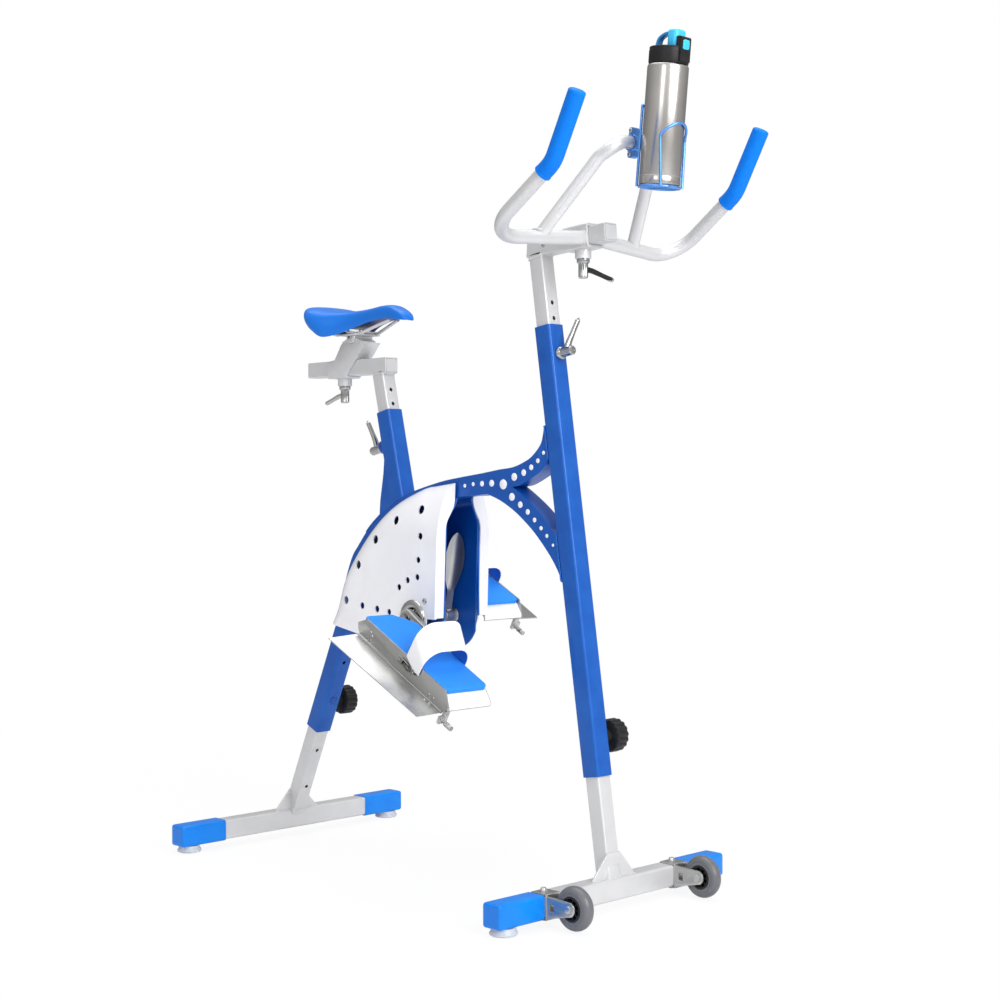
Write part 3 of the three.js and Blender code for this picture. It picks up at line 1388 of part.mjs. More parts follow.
// Lid with the raised bracket at its front
function lidGeometry() {
  const body = lathe([
    [0, 0], [lidRadius, 0], [lidRadius, lidHeight], [lidRadius - tubeWall, lidHeight],
    [lidRadius - tubeWall, lidHeight - tubeWall], [0, lidHeight - tubeWall],
  ], largeSides);
  const inner = spoutFront + seatGap;
  const outer = lidRadius + wireRadius;
  const top = lidHeight + lidBracket;
  const post = slab(outline([
    [inner, tubeWall], [outer, tubeWall], [outer, top - tubeWall], [lidRadius, top], [inner, top],
  ]), -lidBracketHalf, lidBracketHalf);
  const pocket = block(
    [lidRadius - 2 * wireRadius, -buttonHalf - seatGap, lidHeight - seatGap],
    [outer + wireRadius, buttonHalf + seatGap, lidHeight + buttonHeight + seatGap],
  );
  const room = rod(spoutHalf + seatGap, lidHeight - 2 * tubeWall, 2 * lidHeight)
    .translate((spoutFront + spoutBack) / 2, 0, 0);
  const notch = block(
    [-2 * lidRadius, -spoutHalf / 2 - seatGap, lidHeight - tubeWall],
    [flipHingeX, spoutHalf / 2 + seatGap, 2 * lidHeight],
  );
  return cut(join(body, post), pocket, room, notch);
}

// Height of the spout cover's hinge above the lid's foot
const flipHingeZ = lidHeight - tubeWall + seatGap + flipBarrel;

// Spout cover with its carrying loop, about its hinge at the rear of the lid
function flipCapGeometry() {
  const floor = lidHeight - tubeWall + seatGap;
  const top = lidHeight + spoutHeight - tubeWall;
  const spout = block([spoutBack, -spoutHalf, floor], [spoutFront, spoutHalf, top]);
  const barrel = rodAcross(flipBarrel, -spoutHalf / 2, spoutHalf / 2)
    .translate(flipHingeX, 0, flipHingeZ);
  const shape = new THREE.Shape();
  shape.moveTo(flipHingeX - flipBarrel, flipHingeZ);
  shape.quadraticCurveTo(flipHingeX - flipBarrel, top - loopStrip, spoutBack + loopStrip, top);
  shape.lineTo(spoutBack + loopStrip, top - loopStrip - flipBarrel);
  shape.quadraticCurveTo(
    flipHingeX + loopStrip + flipBarrel, top - 2 * loopStrip, flipHingeX + flipBarrel, flipHingeZ,
  );
  const strap = slab(shape, -spoutHalf / 2, spoutHalf / 2, 4);
  return join(spout, strap, barrel).translate(-flipHingeX, 0, -flipHingeZ);
}

function buttonGeometry() {
  return block(
    [lidRadius - wireRadius, -buttonHalf, lidHeight],
    [lidRadius + wireRadius + buttonProud, buttonHalf, lidHeight + buttonHeight],
  );
}

// Front stand, its caps, feet and wheels: slides along the front tube's axis
function frontStand() {
  const parts = [];
  const start = frontTubeX + (frontTubeZ - barHeight) * Math.tan(frontLean);
  const length = (frontTubeZ - barHeight) / Math.cos(frontLean) + legOverlap;
  const bolts = [-wheelY, wheelY];
  const stand = piece("front_stand", standGeometry(-frontLean, start, length, [], bolts), "silver");
  stand.position.set(0, 0, barHeight);
  parts.push(stand, ...baseEnds("front", 0));
  [[-1, "right"], [1, "left"]].forEach(([side, name]) => {
    const bracket = piece("wheel_bracket_" + name, wheelBracketGeometry(), "steel");
    bracket.position.set(wheelX, side * wheelY, wheelZ);
    const tyre = piece("tyre_" + name, tyreGeometry(), "tyre");
    const hub = piece("wheel_hub_" + name, wheelHubGeometry(), "black");
    parts.push(bracket, pivot("wheel_" + name, [wheelX, side * wheelY, wheelZ], 0, tyre, hub));
  });
  return pivot("front_stand_slide", [0, 0, 0], 0, ...parts);
}

// Caps and feet at both ends of a base bar
function baseEnds(which, x) {
  return [[-1, "right"], [1, "left"]].flatMap(([side, name]) => {
    const cap = piece(which + "_cap_" + name, capGeometry(side), "capBlue");
    cap.position.set(x, 0, barHeight);
    const foot = piece(which + "_foot_" + name, footGeometry(), "white");
    foot.position.set(x, side * footSpread, 0);
    return [cap, foot];
  });
}

function rearStand() {
  const holes = [rearHoleStart, rearHoleStart + rearHolePitch];
  const length = rearTubeStart + legOverlap;
  const stand = piece("rear_stand", standGeometry(rearLean, 0, length, holes, []), "silver");
  stand.position.set(rearBarX, 0, barHeight);
  return pivot("rear_stand_slide", [0, 0, 0], 0, stand, ...baseEnds("rear", rearBarX));
}

// A pedal on its pin, with its pan, pad, strap, fin and plunger
function pedal(side, name, centre) {
  const pan = piece("pedal_pan_" + name, panGeometry(side), "steel");
  const foam = piece("foot_pad_" + name, foamGeometry(side), "padBlue");
  const strap = piece("foot_strap_" + name, strapGeometry(side), "white");
  const fin = piece("pedal_fin_" + name, finGeometry(side), "steel");
  const finPivot = pivot("fin_hinge_" + name, [0, side * (panOuter + washerGap), -finHinge], 0, fin);
  const plunger = piece("plunger_" + name, plungerGeometry(), "chrome");
  const plungerSpot = [0, side * panOuter, plungerHeight];
  const plungerPivot = pivot("plunger_slide_" + name, plungerSpot, 0, plunger);
  return pivot("pedal_" + name, centre, pedalTilt, pan, foam, strap, finPivot, plungerPivot);
}

// Shaft, blades, crank arms and pedals: turn together about the crank axis
function crankset() {
  const parts = [piece("impeller_shaft", impellerGeometry(), "steel")];
  [[-1, "right", crankAngle], [1, "left", crankAngle + Math.PI]].forEach(([side, name, angle]) => {
    const arm = piece("crank_arm_" + name, crankArmGeometry(side), "steel");
    arm.rotation.y = -angle;
    const pin = [crankLength * Math.cos(angle), 0, crankLength * Math.sin(angle)];
    parts.push(arm, pedal(side, name, pin));
  });
  return pivot("crank_turn", [crankX, 0, crankZ], 0, ...parts);
}

// A ratchet lever with its pivot on the face it clamps, its axis leaning from z by tilt about y
function lever(name, place, tilt, swing, screwDepth) {
  const body = piece(name, leverGeometry(screwDepth), "chrome");
  body.rotation.z = swing;
  return pivot(name + "_turn", place, tilt, body);
}

// Everything on the seat post
function seatGroup() {
  const saddle = piece("saddle", saddleGeometry(), "padBlue");
  const rails = piece("saddle_rails", railsGeometry(), "steel");
  const tilt = pivot("saddle_tilt", [cradleX, 0, cradleZ], 0, rails, saddle);
  const carriage = piece("seat_carriage", carriageGeometry(), "silver");
  const bossFace = seatSlideZ - carriageHalf - bossHeight;
  const depth = bossHeight + carriageHalf - postSize / 2 - slideGap - seatGap;
  const clamp = lever("seat_slide_lever", [carriageBossX, 0, bossFace], Math.PI, 0, depth);
  const slide = pivot("seat_slide", [0, 0, 0], 0, carriage, clamp, tilt);
  return pivot("seat_height", [0, 0, 0], 0, piece("seat_post", seatPostGeometry(), "silver"), slide);
}

// Bottle, lid, spout cover and button, in a frame on the bottle's foot
function bottleGroup() {
  const bottle = piece("bottle", bottleGeometry(), "steel");
  const lid = piece("bottle_lid", lidGeometry(), "black");
  const flip = piece("bottle_flip_cap", flipCapGeometry(), "cyan");
  const flipPivot = pivot("flip_cap_hinge", [flipHingeX, 0, flipHingeZ], 0, flip);
  const button = piece("bottle_button", buttonGeometry(), "cyan");
  const buttonPivot = pivot("button_slide", [0, 0, 0], 0, button);
  const top = pivot("lid_frame", [0, 0, bottleHeight], 0, lid, flipPivot, buttonPivot);
  return pivot("bottle_lift", [0, 0, 0], 0, bottle, top);
}

// Everything on the handlebar post
function handlebarGroup() {
  const post = piece("bar_post", barPostGeometry(), "silver");
  const sleeve = piece("bar_sleeve", sleeveGeometry(), "silver");
  const bar = piece("handlebar", handlebarGeometry(), "silver");
  const grips = [[-1, "right"], [1, "left"]].map(([side, name]) => {
    return piece("grip_" + name, gripGeometry(side), "padBlue");
  });
  const [loopX, , loopZ] = barPoint(loopShares[loopShares.length - 1], 0);
  const inBottle = new THREE.Vector3(loopX - bottleX, 0, loopZ - bottleZ)
    .applyAxisAngle(new THREE.Vector3(0, 1, 0), -bottleLean);
  const cage = piece("bottle_cage", cageGeometry([inBottle.x, inBottle.z]), "cageBlue");
  const bottleFrame = pivot("bottle_frame", [bottleX, 0, bottleZ], bottleLean, cage, bottleGroup());
  const bossFace = barSlideAt(sleeveBossX) - sleeveHalf - bossHeight;
  const depth = bossHeight + sleeveHalf - postSize / 2 - slideGap - 2 * seatGap;
  const clamp = lever("bar_slide_lever", [sleeveBossX, 0, bossFace], Math.PI, Math.PI * 0.58, depth);
  const slide = pivot("bar_slide", [0, 0, 0], 0, sleeve, bar, ...grips, clamp, bottleFrame);
  return pivot("bar_height", [0, 0, 0], 0, post, slide);
}

// The frame's own fixed pieces
function frameParts() {
  const front = piece("front_tube", frontTubeGeometry(), "frameBlue");
  front.position.set(frontTubeX, 0, frontTubeZ);
  front.rotation.y = -frontLean;
  const rear = piece("rear_tube", rearTubeGeometry(), "frameBlue");
  rear.position.set(rearBarX, 0, barHeight);
  rear.rotation.y = rearLean;
  const parts = [
    front, rear,
    piece("main_beam", beamGeometry(), "frameBlue"),
    piece("seat_tube", seatTubeGeometry(), "frameBlue"),
  ];
  [[-1, "right"], [1, "left"]].forEach(([side, name]) => {
    parts.push(
      piece("casing_shell_" + name, shellGeometry(side), "frameBlue"),
      piece("cover_" + name, coverGeometry(side), "white"),
      piece("hub_cup_" + name, hubCupGeometry(side), "chrome"),
    );
  });
  return parts;
}

// Knobs and levers that clamp the frame's own tubes
function frameClamps() {
  const knob = (name, [x, z], turn) => {
    const body = piece(name, knobGeometry(), "black");
    return pivot(name + "_turn", [x, 0, z], turn, body);
  };
  const frontSpot = onAxis([frontTubeX, frontTubeZ], -frontLean, frontKnobHeight, 0);
  const rearSpot = onAxis(rearAxis, rearLean, rearKnobHeight, 0);
  const [frontX, frontZ] = onAxis(
    [frontTubeX, frontTubeZ], -frontLean, frontLeverHeight, tubeSize / 2,
  );
  const frontDepth = tubeWall - seatGap / 3;
  const seatOut = tubeSize / 2 + bossHeight;
  const [seatX, seatZ] = onAxis(seatAxis, -seatLean, -seatLeverDepth, -seatOut);
  const seatDepth = seatOut - postSize / 2 - slideGap - seatGap;
  const facingFront = Math.PI / 2 - frontLean;
  const facingRear = -Math.PI / 2 - seatLean;
  return [
    knob("front_knob", frontSpot, -frontLean),
    knob("rear_knob", rearSpot, rearLean),
    lever("front_tube_lever", [frontX, 0, frontZ], facingFront, Math.PI * 0.88, frontDepth),
    lever("seat_tube_lever", [seatX, 0, seatZ], facingRear, 0, seatDepth),
  ];
}

const bike = new THREE.Group();
bike.add(...frameParts(), ...frameClamps(), frontStand(), rearStand());
bike.add(crankset(), seatGroup(), handlebarGroup());
const bounds = new THREE.Box3().setFromObject(bike);
const middle = bounds.getCenter(new THREE.Vector3());
bike.position.set(-middle.x, -middle.y, -bounds.min.z);
const root = new THREE.Group();
root.add(bike);

export default root;
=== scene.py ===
# %% [markdown]
# # A water exercise bike
# The bike stands in a pool on two crossbars. The rider turns spoon blades inside a domed casing. The
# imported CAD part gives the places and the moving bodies, and this notebook gives each piece its real
# skin.

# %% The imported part
import json
import math

import bmesh
import bpy
from mathutils import Matrix, Vector


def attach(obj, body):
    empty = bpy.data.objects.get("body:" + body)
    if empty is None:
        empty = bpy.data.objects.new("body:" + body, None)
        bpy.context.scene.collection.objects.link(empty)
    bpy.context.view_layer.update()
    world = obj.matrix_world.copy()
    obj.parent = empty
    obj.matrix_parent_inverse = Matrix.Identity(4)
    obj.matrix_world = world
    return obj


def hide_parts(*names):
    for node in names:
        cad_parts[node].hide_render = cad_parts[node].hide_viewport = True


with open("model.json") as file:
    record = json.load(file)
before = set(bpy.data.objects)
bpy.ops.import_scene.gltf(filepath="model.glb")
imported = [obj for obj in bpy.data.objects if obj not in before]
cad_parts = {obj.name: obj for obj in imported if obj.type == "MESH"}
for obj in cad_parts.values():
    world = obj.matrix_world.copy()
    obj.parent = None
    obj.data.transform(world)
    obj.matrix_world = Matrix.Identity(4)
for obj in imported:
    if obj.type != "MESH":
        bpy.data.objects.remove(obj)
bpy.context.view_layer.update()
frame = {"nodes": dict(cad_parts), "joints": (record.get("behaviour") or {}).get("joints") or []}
joint_at = {joint["name"]: Vector(joint["pos_m"]) for joint in frame["joints"] if joint.get("pos_m")}

# %% [markdown]
# ## Where sizes are measured from
# Sizes are in millimetres, forward from the front crossbar, as a maker would lay them out on the floor.
# The frame itself is in metres from its own middle. The wheel axle, 76 mm ahead of the bar, ties the two
# together. Each leaning tube gets a frame of its own, with z along the tube.

# %% Frames to build in
wheel_ahead = 76
bar_x = joint_at["wheel_right_roll"].x - wheel_ahead / 1000
millimetres = Matrix.Translation((bar_x, 0, 0)) @ Matrix.Scale(0.001, 4)


def turned(degrees, axis="Y"):
    return Matrix.Rotation(math.radians(degrees), 4, axis)


def moved(x=0, y=0, z=0):
    return Matrix.Translation((x, y, z))


def leaning(x, z, degrees):
    return millimetres @ moved(x, 0, z) @ turned(degrees)


def at_joint(name, tilt=0, swing=0):
    return Matrix.Translation(joint_at[name]) @ turned(tilt) @ turned(swing, "Z") @ Matrix.Scale(0.001, 4)


bar_height = 36.2
crank = Vector((-461, 0, 506))
front_lean, rear_lean, seat_lean = 8.4, 24.6, 13.3
front_tube_x, front_tube_z = -30, 236
rear_bar_x, seat_tube_top = -947, 920
front_tube_frame = leaning(front_tube_x, front_tube_z, -front_lean)
rear_leg_frame = leaning(rear_bar_x, bar_height, rear_lean)
seat_tube_frame = leaning(-613, seat_tube_top, -seat_lean)
pedal_frames = {side: at_joint(f"pedal_{side}_spin", 28) for side in ("right", "left")}
sides = (("right", -1), ("left", 1))
mirror = Matrix.Scale(-1, 4, (0, 1, 0))
print("front bar at", round(bar_x, 4), "m")

# %% [markdown]
# ## Surface detail shared by all finishes
# Real coats and metals are never one flat tone. One node group mixes a broad mottle, a fine grain that
# can be stretched along the brushing, a small bump, and the lighter wear that edges get.

# %% Detail group
def group_with(name, inputs, outputs):
    group = bpy.data.node_groups.new(name, "ShaderNodeTree")
    for socket, kind, value in inputs:
        made = group.interface.new_socket(socket, in_out="INPUT", socket_type="NodeSocket" + kind)
        made.default_value = value
    for socket, kind in outputs:
        group.interface.new_socket(socket, in_out="OUTPUT", socket_type="NodeSocket" + kind)
    return group, group.nodes.new("NodeGroupInput"), group.nodes.new("NodeGroupOutput")


def node(tree, kind, links=None, **values):
    made = tree.nodes.new("ShaderNode" + kind)
    for key, value in values.items():
        if hasattr(made, key):
            setattr(made, key, value)
        else:
            made.inputs[key.replace("_", " ")].default_value = value
    for socket, source in (links or {}).items():
        tree.links.new(source, made.inputs[socket])
    return made


detail, given, result = group_with(
    "surface detail",
    [
        ("Stretch", "Vector", (1, 1, 1)), ("Mottle Scale", "Float", 25),
        ("Grain Scale", "Float", 900), ("Depth", "Float", 0.1),
    ],
    [("Mottle", "Float"), ("Grain", "Float"), ("Edge", "Float"), ("Normal", "Vector")],
)
place = node(detail, "TexCoord").outputs["Object"]
stretched = node(detail, "VectorMath", {0: place, 1: given.outputs["Stretch"]}, operation="MULTIPLY")
broad = node(detail, "TexNoise", {"Vector": place, "Scale": given.outputs["Mottle Scale"]}, Detail=3)
grain_links = {"Vector": stretched.outputs[0], "Scale": given.outputs["Grain Scale"]}
fine = node(detail, "TexNoise", grain_links, Detail=5)
bump = node(detail, "Bump", {"Height": fine.outputs[0], "Strength": given.outputs["Depth"]}, Distance=0.0004)
shape = node(detail, "NewGeometry")
raised = node(detail, "MapRange", {0: shape.outputs["Pointiness"]}, From_Min=0.505, From_Max=0.56)
patchy = node(detail, "Math", {0: raised.outputs[0], 1: broad.outputs[0]}, operation="MULTIPLY")
for socket, source in (("Mottle", broad), ("Grain", fine), ("Edge", patchy), ("Normal", bump)):
    detail.links.new(source.outputs[0], result.inputs[socket])
print("detail group ready")

# %% [markdown]
# ## How a finish is made
# Each finish is one colour with a lighter partner for mottle and worn edges, and a roughness that wanders
# a little. One maker sets them all.

# %% One maker of finishes
def finish(
    name, colour, light, metal=0, rough=0.4, wander=0.1,
    stretch=(1, 1, 1), grain=900, depth=0.1, mix=0.3, **extra,
):
    made = bpy.data.materials.new(name)
    made.use_nodes = True
    tree = made.node_tree
    skin = tree.nodes["Principled BSDF"]
    marks = tree.nodes.new("ShaderNodeGroup")
    marks.node_tree = detail
    marks.inputs["Stretch"].default_value = stretch
    marks.inputs["Grain Scale"].default_value = grain
    marks.inputs["Depth"].default_value = depth
    tone = node(tree, "Math", {0: marks.outputs["Mottle"]}, operation="MULTIPLY")
    tone.inputs[1].default_value = mix
    both = {0: tone.outputs[0], 1: marks.outputs["Edge"]}
    share = node(tree, "Math", both, operation="ADD", use_clamp=True)
    blend = node(tree, "Mix", {"Factor": share.outputs[0]}, data_type="RGBA")
    blend.inputs["A"].default_value = (*colour, 1)
    blend.inputs["B"].default_value = (*light, 1)
    smoothest, roughest = rough - wander / 2, rough + wander / 2
    spread = node(tree, "MapRange", {0: marks.outputs["Grain"]}, To_Min=smoothest, To_Max=roughest)
    tree.links.new(blend.outputs["Result"], skin.inputs["Base Color"])
    tree.links.new(spread.outputs[0], skin.inputs["Roughness"])
    tree.links.new(marks.outputs["Normal"], skin.inputs["Normal"])
    skin.inputs["Metallic"].default_value = metal
    for key, value in extra.items():
        skin.inputs[key.replace("_", " ")].default_value = value
    return made


print("a finish takes a colour, its lighter partner, metal, roughness and grain")

# %% [markdown]
# ## The finishes
# Coats, chrome, brushed steel, foam and mouldings differ only in their numbers. Colours are linear shares of
# red, green and blue, and a brushed finish stretches its grain along one axis.

# %% The finishes
frame_blue = finish(
    "frame blue", (0.0, 0.062, 0.35), (0.01, 0.12, 0.48), 0.1, 0.34, 0.08,
    grain=1600, depth=0.06, mix=0.2, Specular_IOR_Level=0.28, Coat_Weight=0.1,
)
silver = finish(
    "satin silver", (0.58, 0.58, 0.59), (0.66, 0.66, 0.67), 0.4, 0.4, 0.06, grain=1800, depth=0.05, mix=0.14
)
white = finish(
    "white gel coat", (0.84, 0.84, 0.88), (0.92, 0.92, 0.94), 0, 0.16, 0.05,
    grain=300, depth=0.03, Coat_Weight=0.6, Coat_Roughness=0.06,
)
chrome = finish("chrome", (0.34, 0.34, 0.34), (0.5, 0.5, 0.5), 1, 0.1, 0.04, grain=500, depth=0.02)
steel = finish(
    "brushed steel", (0.42, 0.42, 0.41), (0.56, 0.56, 0.55), 0.9, 0.3, 0.14, (0.06, 1, 1), 1500, 0.12
)
cap_blue = finish(
    "bright blue moulding", (0.0, 0.165, 0.68), (0.0, 0.23, 0.78), 0, 0.3, 0.08,
    grain=1200, depth=0.06, Specular_IOR_Level=0.3,
)
foam_blue = finish(
    "blue foam", (0.02, 0.215, 0.76), (0.03, 0.27, 0.84), 0, 0.62, 0.12,
    grain=2600, depth=0.3, Specular_IOR_Level=0.15,
)
grip_blue = finish(
    "blue grip foam", (0.0, 0.155, 0.68), (0.0, 0.2, 0.76), 0, 0.6, 0.12,
    grain=2600, depth=0.25, Specular_IOR_Level=0.15,
)
saddle_blue = finish(
    "saddle cover", (0.0, 0.14, 0.6), (0.0, 0.19, 0.7), 0, 0.36, 0.08,
    grain=2200, depth=0.12, Specular_IOR_Level=0.35,
)
deep_blue = finish("saddle shell", (0.01, 0.03, 0.16), (0.02, 0.06, 0.24), 0, 0.4, 0.1, depth=0.1)
black = finish(
    "black moulding", (0.006, 0.006, 0.0065), (0.02, 0.02, 0.021), 0, 0.42, 0.14,
    grain=1800, depth=0.2, Specular_IOR_Level=0.25,
)
soft_grey = finish(
    "translucent grey tyre", (0.13, 0.135, 0.15), (0.2, 0.205, 0.22), 0, 0.3, 0.08,
    depth=0.05, Transmission_Weight=0.2, IOR=1.45,
)
milky = finish(
    "milky foot", (0.68, 0.72, 0.78), (0.8, 0.83, 0.87), 0, 0.35, 0.08, depth=0.05, Transmission_Weight=0.3
)
bottle_steel = finish(
    "bottle steel", (0.44, 0.42, 0.4), (0.56, 0.54, 0.52), 1, 0.24, 0.12, (1, 1, 0.03), 1600, 0.08
)
cyan = finish(
    "cyan moulding", (0.03, 0.46, 0.82), (0.06, 0.55, 0.9), 0, 0.3, 0.08, depth=0.08, Specular_IOR_Level=0.35
)
clear_blue = finish(
    "clear blue moulding", (0.02, 0.26, 0.62), (0.03, 0.34, 0.72), 0, 0.22, 0.06,
    depth=0.05, Transmission_Weight=0.15,
)
anodised = finish("blue anodised wire", (0.07, 0.24, 0.68), (0.16, 0.38, 0.8), 0.7, 0.24, 0.08, depth=0.08)
strap_white = finish(
    "white strap", (0.82, 0.83, 0.87), (0.9, 0.9, 0.93), 0, 0.45, 0.1, grain=1400, depth=0.12
)
lining = finish("strap lining", (0.008, 0.11, 0.5), (0.015, 0.16, 0.6), 0, 0.6, 0.1, grain=2400, depth=0.3)
plug_white = finish("white plug", (0.78, 0.79, 0.82), (0.88, 0.88, 0.9), 0, 0.3, 0.08, depth=0.05)
print(len(bpy.data.materials), "finishes")

# %% [markdown]
# ## Ways of making a form
# A bike is made of few kinds of work: tube pulled through a die, turned parts, bent bars, cut plate and
# mouldings. Each has one maker here. They all work in millimetres and hand over a mesh that the frame
# matrix then puts in place.

# %% Skins and turned parts
def skin_over(rings, closed_along=False, ends=True):
    mesh = bmesh.new()
    loops = [[mesh.verts.new(point) for point in ring] for ring in rings]
    pairs = list(zip(loops, loops[1:]))
    if closed_along:
        pairs.append((loops[-1], loops[0]))
    for low, high in pairs:
        for i in range(len(low)):
            j = (i + 1) % len(low)
            mesh.faces.new((low[i], low[j], high[j], high[i]))
    if ends and not closed_along:
        mesh.faces.new(loops[0])
        mesh.faces.new(loops[-1])
    return mesh


def joined(*parts):
    whole = bmesh.new()
    for part in parts:
        held = bpy.data.meshes.new("held")
        part.to_mesh(held)
        part.free()
        whole.from_mesh(held)
        bpy.data.meshes.remove(held)
    return whole


def placed(mesh, matrix):
    mesh.transform(matrix)
    return mesh


def spun(profile, steps=64):
    mesh = bmesh.new()
    points = [mesh.verts.new((r, 0, z)) for r, z in profile]
    edges = [mesh.edges.new(pair) for pair in zip(points, points[1:])]
    about = {"cent": (0, 0, 0), "axis": (0, 0, 1), "angle": 2 * math.pi}
    bmesh.ops.spin(mesh, geom=points + edges, steps=steps, use_merge=True, **about)
    bmesh.ops.remove_doubles(mesh, verts=mesh.verts, dist=0.001)
    return mesh


def rod(radius, low, high, steps=32, edge=0):
    wall = [(radius, low), (radius, high)]
    if edge:
        wall = [(radius - edge, low), (radius, low + edge), (radius, high - edge), (radius - edge, high)]
    return spun([(0, low), *wall, (0, high)], steps)


def across(mesh, y=0):
    return placed(mesh, moved(0, y, 0) @ turned(-90, "X"))


def fluted(profile, ridges, depth, per_ridge=6):
    count = ridges * per_ridge
    rings = []
    for r, z, share in profile:
        ring = []
        for i in range(count):
            angle = 2 * math.pi * i / count
            dent = depth * share * (0.5 - 0.5 * math.cos(ridges * angle)) ** 2
            ring.append(((r - dent) * math.cos(angle), (r - dent) * math.sin(angle), z))
        rings.append(ring)
    return skin_over(rings)


print("ready: turned parts and skins")

# %% [markdown]
# ## Squares, plates and square tube
# Square tube has rounded corners inside and out. A plate is an outline with a thickness, and a slab is the
# plain one. Softened rings are rounded squares that draw in towards a moulded end.

# %% Squares, plates and tubes
def rounded_square(size, corner, steps=5, wide=None):
    half_x = (wide or size) / 2 - corner
    half_y = size / 2 - corner
    points = []
    for k, (sx, sy) in enumerate(((1, 1), (-1, 1), (-1, -1), (1, -1))):
        for i in range(steps + 1):
            angle = math.pi / 2 * (k + i / steps)
            points.append((sx * half_x + corner * math.cos(angle), sy * half_y + corner * math.sin(angle)))
    return points


def square_tube(size, corner, wall, low, high, floor=None):
    outer = rounded_square(size, corner)
    inner = rounded_square(size - 2 * wall, max(0.5, corner - wall))
    bottom = low if floor is None else floor
    rings = [(outer, low), (outer, high), (inner, high), (inner, bottom)]
    loops = [[(x, y, z) for x, y in ring] for ring, z in rings]
    return skin_over(loops, closed_along=floor is None)


def prism(outline, low, high):
    return skin_over([[(x, y, z) for x, z in outline] for y in (low, high)])


def slab(low, high):
    (x0, y0, z0), (x1, y1, z1) = low, high
    return prism([(x0, z0), (x1, z0), (x1, z1), (x0, z1)], y0, y1)


def softened(levels, size, corner, steps=5, wide=None, ease=0):
    rings = []
    for inset, z in levels:
        width = wide - 2 * inset if wide else None
        square = rounded_square(size - 2 * inset, max(1, corner - ease * inset), steps, width)
        rings.append([(x, y, z) for x, y in square])
    return rings


print("ready: plates and square tube")

# %% [markdown]
# ## Bent bars and smooth lines
# A bar bends with one radius at each corner and keeps its section along the way. Measured points are joined
# by a smooth line that passes through each of them, as a draughtsman's curve does.

# %% Bars and smooth lines
def arc(radius, start, end, steps, centre=(0, 0)):
    angles = [math.radians(start + (end - start) * i / steps) for i in range(steps + 1)]
    return [(centre[0] + radius * math.cos(angle), centre[1] + radius * math.sin(angle)) for angle in angles]


def circle(radius, steps=24):
    return arc(radius, 0, 360, steps)[:-1]


def rounded_path(points, bend, steps=8):
    knots = [Vector(point) for point in points]
    path = [knots[0]]
    for before, here, after in zip(knots, knots[1:], knots[2:]):
        incoming = (here - before).normalized()
        outgoing = (after - here).normalized()
        turn = incoming.angle(outgoing)
        if turn < 0.01:
            path.append(here)
            continue
        longest = 0.48 * min((here - before).length, (after - here).length)
        setback = min(bend * math.tan(turn / 2), longest)
        radius = setback / math.tan(turn / 2)
        inward = (outgoing - incoming * outgoing.dot(incoming)).normalized()
        for i in range(steps + 1):
            angle = turn * i / steps
            sideways = inward * radius * (1 - math.cos(angle))
            path.append(here + incoming * (radius * math.sin(angle) - setback) + sideways)
    return path + [knots[-1]]


def smooth_line(knots, count):
    line = []
    last = len(knots) - 1
    for step in range(count + 1):
        spot = step / count * last
        i = min(int(spot), last - 1)
        t = spot - i
        near = [knots[min(max(k, 0), last)] for k in (i - 1, i, i + 1, i + 2)]
        line.append(tuple(
            q + 0.5 * t * (r - p + t * (2 * p - 5 * q + 4 * r - s + t * (3 * (q - r) + s - p)))
            for p, q, r, s in zip(*near)
        ))
    return line


def stepped(path, stride):
    points = []
    for a, b in zip(path, path[1:]):
        steps = max(1, int((b - a).length / stride))
        points += [a.lerp(b, i / steps) for i in range(steps)]
    return points


def swept(path, section, up=(0, 0, 1)):
    lengths = [0]
    for a, b in zip(path, path[1:]):
        lengths.append(lengths[-1] + (b - a).length)
    rings = []
    side = None
    for i, point in enumerate(path):
        ahead = (path[min(i + 1, len(path) - 1)] - path[max(i - 1, 0)]).normalized()
        start = Vector(up) if side is None else side
        side = (start - ahead * start.dot(ahead)).normalized()
        other = ahead.cross(side)
        rings.append([point + side * u + other * v for u, v in section(lengths[i] / lengths[-1])])
    return skin_over(rings)


def bent_bar(points, radius, bend, steps=8, around=24):
    ring = circle(radius, around)
    path = rounded_path(points, bend, steps)
    upright = abs((path[1] - path[0]).normalized().z) > 0.9
    return swept(path, lambda share: ring, (1, 0, 0) if upright else (0, 0, 1))


print("ready: bars and smooth lines")

# %% [markdown]
# ## Cutting, and putting a piece into the frame
# Holes are cut as a drill would: the tool's solid is taken away from the blank. The finished mesh gets a
# fine rounded edge, because no real edge is sharp, and is then tied to the body it moves with, while the
# CAD piece it stands for is hidden.

# %% Cutting and placing
def carved(blank, *tools):
    made = []
    for number, mesh in enumerate((blank, *tools)):
        bmesh.ops.recalc_face_normals(mesh, faces=mesh.faces)
        data = bpy.data.meshes.new("blank" if number == 0 else "tool")
        mesh.to_mesh(data)
        mesh.free()
        made.append(bpy.data.objects.new(data.name, data))
        bpy.context.scene.collection.objects.link(made[-1])
    for tool in made[1:]:
        cutting = made[0].modifiers.new("cut", "BOOLEAN")
        cutting.operation = "DIFFERENCE"
        cutting.solver = "EXACT"
        cutting.object = tool
    bpy.context.view_layer.update()
    left = bmesh.new()
    left.from_object(made[0], bpy.context.evaluated_depsgraph_get())
    for thing in made:
        data = thing.data
        bpy.data.objects.remove(thing)
        bpy.data.meshes.remove(data)
    return left


